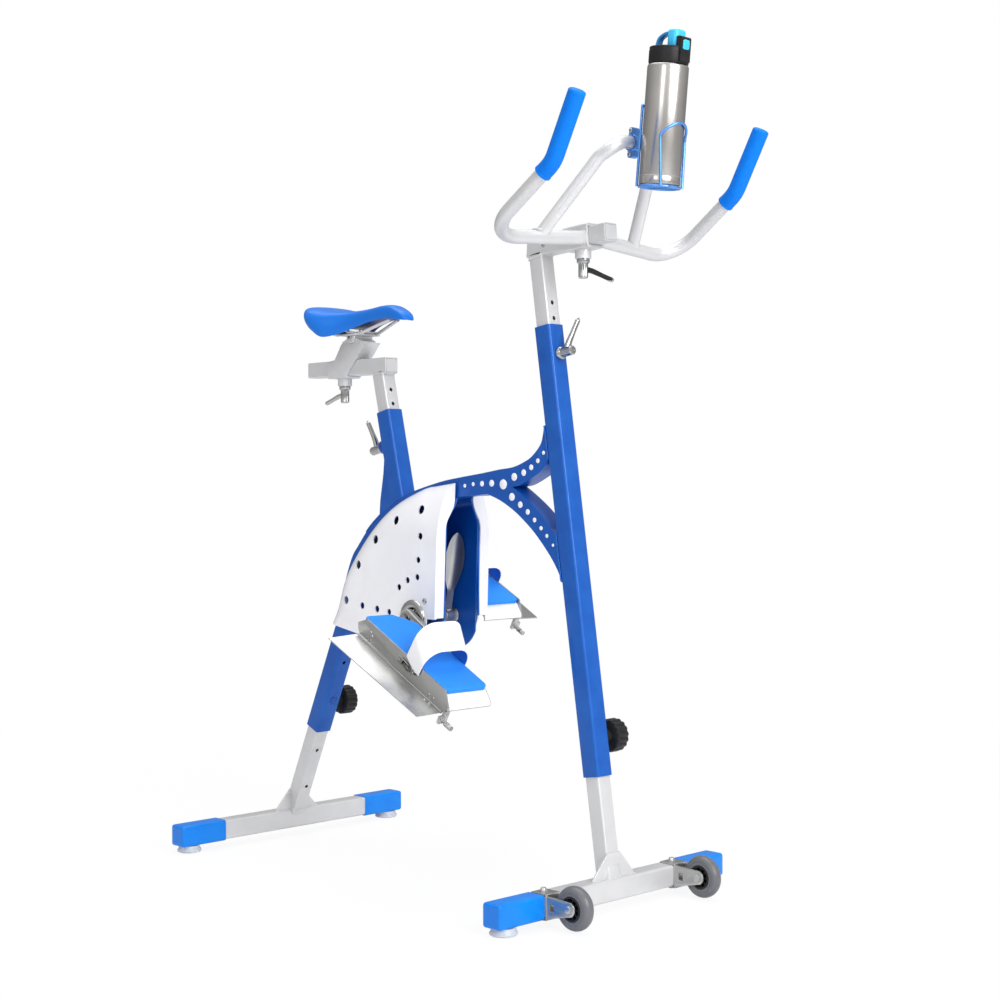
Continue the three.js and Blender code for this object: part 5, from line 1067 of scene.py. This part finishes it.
# %% Knobs
knob_profile = [
    (0.01, 62, 0), (21, 62, 0), (22, 64.2, 0), (23.5, 65, 0), (28, 65, 0.6), (30.4, 63, 1), (31, 60, 1),
    (31, 41, 1), (30, 37.4, 1), (27, 36, 0.5), (0.01, 36, 0),
]


def knob():
    stem = spun([(0, 20.3), (12.4, 20.3), (13, 21), (13, 37), (0, 37)], 40)
    centre = spun([(0, 61), (7, 61), (7, 62.6), (5.5, 63.6), (0, 63.9)], 32)
    return across(joined(fluted(knob_profile, 16, 2.2), stem, rod(5, 17.3, 36, 24), centre))


for end, lean_there in (("front", -front_lean), ("rear", rear_lean)):
    own = f"{end}_knob"
    put(f"{own}_skin", knob(), at_joint(f"{own}_turn", lean_there), own, black, own, 0)
print("two knobs")

# %% [markdown]
# ## Ratchet levers
# A ratchet lever has a flanged, fluted hub on its screw and an arm that narrows to a waist before its
# rounded tip. The arm is swept with an oval section that changes along its length. The lever under the
# handlebar is black.

# %% Ratchet levers
hub_profile = [
    (4, 0.3, 0), (11.2, 0.3, 0), (12, 1, 0), (12, 6.2, 0), (11.4, 7.2, 0), (9, 8.8, 0), (9, 10, 1), (9, 31, 1),
    (9, 33, 0), (7.8, 35.4, 0), (4.6, 35.9, 0), (4.2, 34.8, 0), (0.01, 34.8, 0),
]


def lever_hub(depth):
    return fluted([(0.01, -depth, 0), (4, -depth, 0)] + hub_profile, 14, 0.9)


def oval(share):
    wide = 7.4 - 4 * share + 3.4 * max(0, share - 0.55) ** 0.9
    thick = 5.4 - 1.9 * share + 2.4 * max(0, share - 0.6)
    end = math.sqrt(max(0.01, 1 - max(0, (share - 0.9) / 0.1) ** 2))
    return [(thick * end * u, wide * end * v) for u, v in circle(1, 24)]


def lever_arm():
    path = rounded_path([(2, 0, 18), (20, 0, 21), (62, 0, 35)], 20, 10)
    return swept(stepped(path, 1.5) + [path[-1] + (path[-1] - path[-2]).normalized() * 5], oval)


bar_lever_swing = 104.4
levers = (
    ("front_tube_lever", 81.6, 158.4, 2.9, chrome, chrome),
    ("seat_tube_lever", -103.3, 0, 18.7, chrome, chrome),
    ("seat_slide_lever", 180, 0, 19.7, steel, chrome),
    ("bar_slide_lever", 180, bar_lever_swing, 20.4, black, chrome),
)
for name, tilt, swing, depth, arm_look, hub_look in levers:
    here = at_joint(f"{name}_swing", tilt, swing)
    put(f"{name}_skin", lever_hub(depth), here, name, hub_look, name, 0)
    put(f"{name}_arm", lever_arm(), here, name, arm_look, edge=0)
tip = spun([(0, -9), (4.2, -9), (4.8, -3), (4.6, 2), (3, 4.6), (0, 5.4)], 32)
placed(tip, moved(61, 0, 34.7) @ turned(71.6))
tip_frame = at_joint("bar_slide_lever_swing", 180, bar_lever_swing)
put("bar_slide_lever_tip", tip, tip_frame, "bar_slide_lever", chrome, edge=0)
print(len(levers), "levers")

# %% [markdown]
# ## Seat post and carriage
# The seat post is a square tube with the slide tube welded across its top, like a letter T that leans
# back. The carriage that runs along the slide keeps its CAD form, which is already what a welder would
# cut from thick plate.

# %% Seat post
def post_weld(rear_z, front_z, reach=16.7):
    ring = [(-reach, -reach, rear_z), (reach, -reach, front_z), (reach, reach, front_z)]
    return weld(ring + [(-reach, reach, rear_z), (-reach, 0.7 - reach, rear_z)], 2)


def end_plug(low, high, far):
    return skin_over(softened(((2.8, low), (2.8, high), (3.4, far)), post, 2.6))


slide_length, slide_height, post_slope = 257, 1014, math.cos(math.radians(seat_lean))
seat_top_along = (slide_height - seat_tube_top) / post_slope
seat_leg = square_tube(post, post_corner, post_wall, seat_top_along - 170, seat_top_along - 14)
seat_leg = drilled(seat_leg, index_hole, post, (12, 42))
put("seat_post_skin", seat_leg, seat_tube_frame, "seat_post", silver, "seat_post", 0.6)
slide_frame = millimetres @ moved(-862, 0, slide_height) @ turned(90)
slide = square_tube(post, post_corner, post_wall, 0, slide_length)
put("seat_slide_tube", slide, slide_frame, "seat_post", silver, edge=0.6)
put("seat_slide_plug", end_plug(240, 257.2, 258), slide_frame, "seat_post", silver, edge=0)
seat_joint = seat_top_along - 16.6 / post_slope
seat_bead = post_weld(seat_joint + 3.9, seat_joint - 3.9)
put("seat_post_weld", seat_bead, seat_tube_frame, "seat_post", silver, edge=0, angle=60)
dressed("seat_carriage", "seat_carriage", silver, 1.2)
print("slide tube", slide_length, "mm long")

# %% [markdown]
# ## Saddle
# A wide padded saddle: narrow nose, a dip before the raised tail, skirts that turn down at the sides and
# a hollow below. Sections across it are given as shares of its size. A smooth line through them gives the
# soft surface.

# %% Saddle
saddle_sections = [
    (0, 0.14, 0.43, 0.35, 0.36), (0.03, 0.2, 0.57, 0.36, 0.4), (0.09, 0.24, 0.71, 0.39, 0.44),
    (0.17, 0.26, 0.82, 0.43, 0.465), (0.27, 0.28, 0.83, 0.43, 0.46), (0.37, 0.31, 0.79, 0.38, 0.42),
    (0.48, 0.36, 0.76, 0.29, 0.36), (0.58, 0.45, 0.75, 0.18, 0.32), (0.68, 0.62, 0.77, 0.06, 0.29),
    (0.79, 0.85, 0.81, 0, 0.28), (0.88, 0.95, 0.885, 0.2, 0.36), (0.945, 0.93, 0.935, 0.38, 0.42),
    (0.985, 0.8, 0.95, 0.54, 0.62), (1, 0.6, 0.925, 0.68, 0.72),
]
crown_line = [
    (0, 1), (0.34, 0.985), (0.64, 0.94), (0.86, 0.84), (0.97, 0.66), (1, 0.42), (0.97, 0.18), (0.9, 0),
]
belly_line = [(0.9, 0), (0.82, 0.12), (0.74, 0.5), (0.6, 0.9), (0.5, 1), (0, 1)]
saddle_nose, saddle_length, saddle_floor, saddle_height, saddle_half = -549, 259, 1078, 72, 86
sections = smooth_line(saddle_sections, 78)


def half_ring(section, profile, count, highest):
    along, wide, top, edge, hollow = section
    x = saddle_nose - along * saddle_length
    half = []
    for w, h in smooth_line(profile, count):
        half.append((x, w * wide * saddle_half, saddle_floor + saddle_height * (edge + h * (highest - edge))))
    return half, [(x, -y, z) for x, y, z in half]


def saddle_mesh():
    mesh = bmesh.new()
    grid = []
    for section in sections:
        left, right = half_ring(section, crown_line, 28, section[2])
        left_below, right_below = half_ring(section, belly_line, 10, section[4])
        ring = left[::-1] + right[1:] + right_below[1:] + left_below[-2:0:-1]
        grid.append([mesh.verts.new(point) for point in ring])
    crown_faces = 2 * len(left) - 2
    for low, high in zip(grid, grid[1:]):
        for i in range(len(low)):
            j = (i + 1) % len(low)
            made = mesh.faces.new((low[i], low[j], high[j], high[i]))
            made.material_index = 0 if i < crown_faces else 1
    for end in (grid[0], grid[-1]):
        mesh.faces.new(end)
    return mesh


saddle = put("saddle_skin", saddle_mesh(), millimetres, "saddle", saddle_blue, "saddle", 0, 70)
saddle.data.materials.append(deep_blue)
print("saddle of", len(sections), "sections")

# %% [markdown]
# ## Saddle rails and clamp
# Two bent rails hold the saddle, gripped by a clamp that rocks on a barrel in the carriage. The rails are
# one bar each, bent cold, and the clamp is two small plates with socket screws.

# %% Rails
clamp_frame = at_joint("saddle_tilt")
rails = []
for side in (-1, 1):
    bends = [(-82, side * 31, 25.5), (-52, side * 22, 7), (33.5, side * 22, 7), (112, side * 11, 30.5)]
    rails.append(bent_bar(bends, 3.5, 26, 8, 20))
put("saddle_rails_skin", joined(*rails), clamp_frame, "saddle", silver, "saddle_rails", 0)
barrel = across(rod(13, -25.5, 25.5, 40, 1.2))
clamp = joined(barrel, slab((-28, -33, 2.6), (28, 33, 6.6)), slab((-4, -33, 7.6), (28, 33, 11.4)))
put("saddle_clamp", clamp, clamp_frame, "saddle", silver, edge=1.2)
pad = slab((-28, -33, 7.6), (-5, 33, 11.4))
put("saddle_clamp_pad", pad, clamp_frame, "saddle", black, edge=1.2)
seat_block = prism([(-32, -12.6), (28, -12.6), (28, -9), (13, -2), (-13, -2), (-32, -9)], -21, 21)
seat_block = carved(seat_block, across(rod(13.3, -40, 40, 48)))
put("saddle_seat", seat_block, clamp_frame, "seat_carriage", silver, edge=0.8)
plate_head = [(0, 11), (4.6, 11), (4.6, 14), (3.8, 15), (2.2, 15), (2, 13.4), (0, 13.4)]
barrel_head = [(0, 25.4), (5, 25.4), (5, 27.6), (4, 28.6), (2.4, 28.6), (2.2, 27.4), (0, 27.4)]
heads = [placed(spun(plate_head, 28), moved(x, y, 0)) for x in (-17, 17) for y in (-10, 10)]
heads += [placed(spun(barrel_head, 28), turned(90 * end, "X")) for end in (-1, 1)]
put("saddle_clamp_screws", joined(*heads), clamp_frame, "saddle", chrome, edge=0)
print("rails 7 mm thick")

# %% [markdown]
# ## Handlebar post
# The post slides in the front tube and carries a slide tube that leans up to the front. Its rear end is
# cut on a slant, and a plug closes its front end.

# %% Handlebar post
post_top = front_length + 135
bar_leg = square_tube(post, post_corner, post_wall, front_length - 149, post_top + 3)
bar_leg = drilled(bar_leg, index_hole, post, (front_length + 12, front_length + 42))
put("bar_post_skin", bar_leg, front_tube_frame, "bar_post", silver, "bar_post", 0.6)
slide_nose, slide_lean, bar_slide_length = Vector((5, 0, 1226.5)), 4.1, 202
bar_slide_frame = millimetres @ moved(*slide_nose) @ turned(-90 - slide_lean)
slant_cut = placed(slab((-40, -40, 0), (40, 40, 60)), moved(0, 0, bar_slide_length - 3) @ turned(9))
bar_slide = carved(
    square_tube(post, post_corner, post_wall, 0, bar_slide_length), slant_cut,
    placed(rod(index_hole, 0, 40), moved(0, 0, bar_slide_length / 2) @ turned(90)),
)
put("bar_slide_tube", bar_slide, bar_slide_frame, "bar_post", silver, edge=0.6)
put("bar_slide_plug", end_plug(14, -0.2, -1), bar_slide_frame, "bar_post", silver, edge=0)
bar_bead = post_weld(post_top - 6, post_top - 2)
put("bar_post_weld", bar_bead, front_tube_frame, "bar_post", silver, edge=0, angle=60)
print("slide tube", bar_slide_length, "mm long")

# %% [markdown]
# ## Sleeve
# A heavier square sleeve runs on the slide tube and holds the handlebar. A lever clamps it from below,
# through a round boss welded under it.

# %% Sleeve
sleeve_frame = bar_slide_frame @ moved(0, 0, (slide_nose.x + 64) / math.cos(math.radians(slide_lean)))
sleeve = square_tube(44, 4, 5, -31, 31)
put("bar_sleeve_skin", sleeve, sleeve_frame, "handlebar", silver, "bar_sleeve", 0.8)
boss = spun([(4.8, 0), (14, 0), (15, 1), (15, 17.5), (4.8, 17.5), (4.8, 0)], 56)
put("bar_sleeve_boss", boss, at_joint("bar_slide_lever_swing"), "handlebar", silver, edge=0)
small_screw = spun([(0, 0), (4, 0), (3.6, 1.4), (1.6, 2), (0, 1.2)], 24)
placed(small_screw, moved(0, -16.5, 155) @ turned(90, "X"))
put("bar_slide_screw", small_screw, bar_slide_frame, "bar_post", chrome, edge=0)
print("sleeve 62 mm long")

# %% [markdown]
# ## Handlebar
# One bar is bent into two horns and a cross bar, and a thinner loop is welded on to carry the bottle.
# Bars are swept round their bends. Foam grips follow the horns' last bend, and each has a rounded closed
# end.

# %% Handlebar and grips
handle = Vector((-46, 0, 1218.8))
reach, horn_bend, bar_radius, loop_radius = 245, 60, 12.7, 11.5
horn_shares = [(0, 0.09, 0), (-0.061, 1.016, -0.066), (0.583, 0.993, 0.377), (0.82, 1.002, 0.819)]
loop_shares = [(-0.029, 0.506, -0.02), (0.359, 0.286, 0.531), (0.473, 0.241, 0.601), (0.433, 0.094, 0.654)]


def bar_points(shares, side):
    return [handle + reach * Vector((x, side * y, z)) for x, y, z in shares]


horns = [bent_bar(bar_points(horn_shares, side), bar_radius, horn_bend, 12, 32) for name, side in sides]
right_loop, left_loop = (bar_points(loop_shares, side) for name, side in sides)
right_horn = bar_points(horn_shares, -1)
loop_bar = bent_bar(left_loop + right_loop[::-1], loop_radius, 34, 12, 28)
# The bar is solid, so a black disc at the bottom of each drilled hole is painted shade, standing in for the dark
# inside of a hollow tube.
drills, hole_shade_discs = [], []
for start, end, share, heading, radius in (
    (*right_loop[:2], 0.09, -42, loop_radius), (*left_loop[:2], 0.09, -42, loop_radius),
    (*right_horn[:2], 0.157, 0, bar_radius),
):
    aimed = Matrix.Translation(start.lerp(end, share)) @ turned(heading, "Z") @ turned(105)
    drills.append(placed(rod(3.8, radius - 4, radius + 9, 24), aimed))
    hole_shade_discs.append(placed(rod(3.6, radius - 5, radius - 3.4, 24), aimed))
bars = [carved(horns[0], drills[2]), horns[1], carved(loop_bar, *drills[:2])]
put("handlebar_hole_shade", joined(*hole_shade_discs), millimetres, "handlebar", black, edge=0)
put("handlebar_skin", joined(*bars), millimetres, "handlebar", silver, "handlebar", 0, 40)
beads = []
for foot, side in ((right_loop[0], -1), (left_loop[0], 1)):
    inner, around = handle + Vector((0, side * 22.6, 0)), arc(1, 0, 360, 24)
    beads.append(weld([foot + Vector((12.2 * u, 12 * v, 9.5 + 1.5 * abs(v))) for u, v in around], 1.5))
    beads.append(weld([inner + Vector((12.9 * u, 0, 12.9 * v)) for u, v in around], 1.5))
put("handlebar_welds", joined(*beads), millimetres, "handlebar", silver, edge=0, angle=60)

grip_radius, end_round = 15.5, 4.5
for name, side in sides:
    start, bend, end = bar_points(horn_shares, side)[1:]
    first, last = bend + (start - bend).normalized() * 29, end + (end - bend).normalized() * 3.4
    path = rounded_path([first, bend, last], horn_bend, 12)
    dense = stepped(path, 1.5) + [path[-1]]
    whole = sum((b - a).length for a, b in zip(dense, dense[1:]))

    def grip_section(share):
        into_end = max(0, end_round - (1 - share) * whole)
        lip = 0.54 if share * whole < 4 else 0
        return circle(grip_radius - end_round + math.sqrt(end_round**2 - into_end**2) + lip, 32)

    grip = swept(dense, grip_section, (0, 1, 0))
    put(f"grip_{name}_skin", grip, millimetres, "handlebar", grip_blue, f"grip_{name}", 0, 60)
print("grips", round(whole), "mm long")

# %% [markdown]
# ## Drinking bottle
# A brushed steel bottle with a foot band and a black screw lid with fine ribs. A bracket at the front of
# the lid holds the catch for the spout cover, and the lid's rim is notched at the rear so that the cover
# can open.

# %% Bottle and lid
bottle_frame = millimetres @ moved(121, 0, 1296) @ turned(5.8)
bottle_height = 209
lid_frame = bottle_frame @ moved(0, 0, bottle_height)
bottle_profile = [
    (0, 2), (30, 2), (31.5, 0.2), (34.4, 0), (36, 1), (36.5, 2.8), (36.5, 13.6), (36.2, 14.4), (35.9, 15),
    (36.2, 15.8), (36.5, 16.6), (36.5, 203), (36.2, 205.4), (35, 207.6), (33, 208.7), (0, 208.7),
]
put("bottle_skin", spun(bottle_profile, 128), bottle_frame, "bottle", bottle_steel, "bottle", 0)
lid_profile = [
    (0, 0), (33.6, 0), (34.6, 0.6), (35, 1.8), (35, 24), (34.7, 25.4), (35, 26.6), (35, 28.2), (34.2, 29),
    (32.4, 29), (31.8, 28.2), (31.8, 26.2), (31, 26), (0, 26),
]
lid = carved(spun(lid_profile, 112), slab((-40, -8.4, 26), (-27, 8.4, 40)))
put("bottle_lid_skin", lid, lid_frame, "bottle", black, "bottle_lid", 0, 40)
bracket_outline = [(26.3, 3), (37, 3), (37.5, 4), *arc(4, 0, 90, 8, (33.5, 42)), (26.3, 46)]
button_room = slab((30, -8.4, 22.6), (45, 8.4, 40.4))
spout_room = placed(rod(15.3, 20, 60, 64), moved(14.5, 0, 0))
bracket = carved(prism(bracket_outline, -13, 13), button_room, spout_room)
put("bottle_lid_bracket", bracket, lid_frame, "bottle", black, edge=1.4, rounds=3)
nub = slab((-36.6, -5, 22), (-30, 5, 27))
put("bottle_lid_nub", nub, lid_frame @ turned(-70, "Z"), "bottle", black, edge=1.2)
ribs = [placed(slab((34.4, -0.6, 3), (35.35, 0.6, 22)), turned(6 * i, "Z")) for i in range(60)]
put("bottle_lid_ribs", joined(*ribs), lid_frame, "bottle", black, edge=0)
print("bottle", bottle_height, "mm tall, lid 29 mm")

# %% [markdown]
# ## Spout cover, carrying loop and button
# The cyan cover is a moulded block with ribs on its rear face. A darker strip runs from its hinge at the
# lid's rear over to the cover, as a loop to carry the bottle by, and a button in the bracket frees the
# cover.

# %% Spout cover, carrying loop and button
spout_levels = ((0.4, 26.3), (0, 27), (0, 55.5), (0.7, 57.6), (2, 58.7), (4.4, 59))
spout = placed(skin_over(softened(spout_levels, 30, 8, 6, 23, 0.5)), moved(14.5, 0, 0))
put("bottle_flip_cap_skin", spout, lid_frame, "flip_cap", cyan, "bottle_flip_cap", 0, 40)
spout_ribs = joined(*[slab((2.4, -9, 30 + 4 * i), (3.4, 9, 31.4 + 4 * i)) for i in range(6)])
put("spout_ribs", spout_ribs, lid_frame, "flip_cap", cyan, edge=0.3)
hinge_x, hinge_z = -26, 29.3
strip_line = [(hinge_x, hinge_z), (hinge_x + 0.6, 36), (-21.5, 46.5), (-10, 53), (4, 55.2), (9, 55.4)]
strip_path = [Vector((x, 0, z)) for x, z in smooth_line(strip_line, 36)]


def strip_section(share):
    return rounded_square(2 * (7.4 - 0.8 * math.sin(math.pi * share)), 2, 4, wide=5.4)


strip = swept(strip_path, strip_section, (1, 0, 0))
put("carry_loop", strip, lid_frame, "flip_cap", clear_blue, edge=0)
barrel = across(placed(rod(3, -7.5, 7.5, 28, 0.5), moved(hinge_x, -hinge_z, 0)))
put("carry_loop_hinge", barrel, lid_frame, "flip_cap", clear_blue, edge=0)
button = skin_over(softened(((0, 0), (0, 5.6), (0.6, 6.4), (1.8, 6.8)), 16, 3, 5, 16.6))
button_frame = lid_frame @ moved(32.5, 0, 32) @ turned(90)
put("bottle_button_skin", button, button_frame, "bottle_button", cyan, "bottle_button", 0, 40)
print("spout cover, loop and button")

# %% [markdown]
# ## Bottle cage
# Two bent wires and a foot ring carry the bottle: one wire rises behind it, the other loops low in front
# with raised shoulders. A clamp joins the cage to the handlebar's loop. The wires are swept round bars.

# %% Cage
wire, cage_gap = 2.5, 0.8
cage_radius = 36.5 + cage_gap + wire
under_bottle = -cage_gap - wire


def cage_spot(angle, z):
    turn = math.radians(angle)
    return Vector((cage_radius * math.cos(turn), cage_radius * math.sin(turn), z))


def cage_loop(leg_from, leg_to, band_from, band_to, shoulder, crown):
    rise, path = shoulder - under_bottle, []
    for i in range(24):
        path.append(cage_spot(leg_from + (band_from - leg_from) * i / 24, under_bottle + rise * i / 24))
    for i in range(49):
        bulge = (crown - shoulder) * math.sin(math.pi * i / 48)
        path.append(cage_spot(band_from + (band_to - band_from) * i / 48, shoulder + bulge))
    for i in range(1, 25):
        path.append(cage_spot(band_to + (leg_to - band_to) * i / 24, shoulder - rise * i / 24))
    near = [path[max(0, i - 2):i + 3] for i in range(len(path))]
    eased = [path[0]] + [sum(points, Vector()) / len(points) for points in near[1:-1]] + [path[-1]]
    return swept(eased, lambda share: circle(wire, 16), (1, 0, 0))


front_wire = cage_loop(-46, 46, -56, 56, 85, 107)
back_wire = cage_loop(142, 218, 142, 218, 138, 138)
foot_ring = spun(arc(wire, 0, 360, 16, (cage_radius - 4, under_bottle)), 96)
cross_wires = []
for y in (-14, 14):
    ends = [Vector((x, y, under_bottle)) for x in (3 - cage_radius, cage_radius - 3)]
    cross_wires.append(swept(ends, lambda share: circle(2, 12)))
cage = joined(front_wire, back_wire, foot_ring, *cross_wires)
put("bottle_cage_skin", cage, bottle_frame, "handlebar", anodised, "bottle_cage", 0)
loop_top = bottle_frame.inverted() @ (millimetres @ ((left_loop[-1] + right_loop[-1]) / 2))
before_turning = moved(loop_top.x, -loop_top.z, 0)
blanks = (
    placed(prism(rounded_square(54, 4, 5, wide=12), -7, 7), moved(loop_top.x, 0, loop_top.z)),
    across(placed(rod(15.5, -8, 8, 48, 1), before_turning)),
    slab((loop_top.x, -8, loop_top.z - 12), (1 - cage_radius, 8, loop_top.z + 12)),
)
halves = []
for blank in blanks:
    bar_bore = across(placed(rod(11.7, -40, 40, 48), before_turning))
    halves.append(carved(blank, bar_bore, rod(37, -10, 209, 96)))
put("cage_clamp", joined(*halves), bottle_frame, "handlebar", anodised, edge=1, rounds=3)
spine = slab((-cage_radius - 4, -7, under_bottle), (0.6 - cage_radius, 7, 138))
put("cage_spine", spine, bottle_frame, "handlebar", anodised, edge=1.5)
head = [(0, 0), (4, 0), (4, 3), (3.2, 3.8), (1.8, 3.8), (1.6, 2.6), (0, 2.6)]
screws = []
for up in (-21, 21):
    screws.append(placed(spun(head, 28), moved(loop_top.x, -7, loop_top.z + up) @ turned(90, "X")))
put("cage_clamp_screws", joined(*screws), bottle_frame, "handlebar", chrome, edge=0)
print("cage wires", 2 * wire, "mm thick")

# %% [markdown]
# ## Floor and world
# A plain white floor, and a white room round it that is a little darker behind. Shiny pieces see the
# room's walls in soft greys, so that chrome and steel read as metal.

# %% Floor and world
floor_mesh = bmesh.new()
for x, y in ((-40, -40), (40, -40), (40, 40), (-40, 40)):
    floor_mesh.verts.new((x, y, -0.0004))
floor_mesh.faces.new(floor_mesh.verts)
floor_data = bpy.data.meshes.new("floor")
floor_mesh.to_mesh(floor_data)
floor = bpy.data.objects.new("floor", floor_data)
bpy.context.scene.collection.objects.link(floor)
floor_look = bpy.data.materials.new("white floor")
floor_look.use_nodes = True
tree = floor_look.node_tree
plain = tree.nodes["Principled BSDF"]
plain.inputs["Base Color"].default_value = (0.86, 0.86, 0.87, 1)
plain.inputs["Roughness"].default_value = 0.9
glow = node(tree, "Emission", Strength=1.0)
rays = node(tree, "LightPath")
spot = node(tree, "TexCoord")
distance = node(tree, "VectorMath", {0: spot.outputs["Object"]}, operation="LENGTH")
fade = node(tree, "MapRange", {0: distance.outputs["Value"]}, From_Min=0.5, From_Max=2.4, To_Min=0.9, To_Max=1)
seen = node(tree, "Math", {0: rays.outputs["Is Camera Ray"], 1: fade.outputs[0]}, operation="MULTIPLY")
choose = node(tree, "MixShader", {0: seen.outputs[0], 1: plain.outputs[0], 2: glow.outputs[0]})
tree.links.new(choose.outputs[0], tree.nodes["Material Output"].inputs["Surface"])
floor_data.materials.append(floor_look)

world = bpy.data.worlds.new("studio")
bpy.context.scene.world = world
world.use_nodes = True
sky = world.node_tree
rays = node(sky, "LightPath")
towards = node(sky, "TexCoord")
facing = node(sky, "VectorMath", {0: towards.outputs["Generated"]}, operation="DOT_PRODUCT")
facing.inputs[1].default_value = (0.55, -0.45, 0.5)
walls = node(sky, "MapRange", {0: facing.outputs["Value"]}, From_Min=-0.5, From_Max=0.75, To_Min=0.3, To_Max=1)
mirrored = node(sky, "Mix", {"Factor": rays.outputs["Is Glossy Ray"], 3: walls.outputs[0]})
mirrored.inputs[2].default_value = 0.6
seen_or_through = {0: rays.outputs["Is Camera Ray"], 1: rays.outputs["Is Transmission Ray"]}
direct = node(sky, "Math", seen_or_through, operation="MAXIMUM")
strength = node(sky, "Math", {0: mirrored.outputs[0], 1: direct.outputs[0]}, operation="MAXIMUM")
backdrop = sky.nodes["Background"]
backdrop.inputs["Color"].default_value = (1, 1, 1, 1)
sky.links.new(strength.outputs[0], backdrop.inputs["Strength"])
print("floor and white room")

# %% [markdown]
# ## Lamps and camera
# The key lamp is large and comes from the front right, so front faces are brighter than side faces. A
# small side lamp and a wide top lamp fill in. The camera stands where the object is seen at its usual
# three-quarter angle.

# %% Lamps and camera
aim = Vector((0, 0, 0.8))
lamps = (
    ("key", (4.2, -0.6, 2.6), 2.6, 160),
    ("side", (1.9, -3.9, 2.2), 1.2, 16),
    ("top", (-0.4, 0.2, 4.4), 3.4, 95),
)
for name, spot, size, power in lamps:
    lamp = bpy.data.lights.new(name, "AREA")
    lamp.size, lamp.energy = size, power
    holder = bpy.data.objects.new(name, lamp)
    holder.location = spot
    holder.rotation_euler = (aim - Vector(spot)).to_track_quat("-Z", "Y").to_euler()
    bpy.context.scene.collection.objects.link(holder)
camera = bpy.data.objects.new("camera", bpy.data.cameras.new("camera"))
camera.location = (bar_x + 2.1577, -2.3611, 0.7859)
yaw, down = math.radians(45.972), math.radians(0.7823)
forward = Vector((-math.sin(yaw) * math.cos(down), math.cos(yaw) * math.cos(down), -math.sin(down)))
roll = Matrix.Rotation(-0.003, 3, "Z")
camera.rotation_euler = (forward.to_track_quat("-Z", "Y").to_matrix() @ roll).to_euler()
camera.data.sensor_width = 36
camera.data.lens = 63.386
bpy.context.scene.collection.objects.link(camera)
bpy.context.scene.camera = camera
bpy.context.scene.view_settings.view_transform = "Standard"
print(len(lamps), "lamps and a camera")
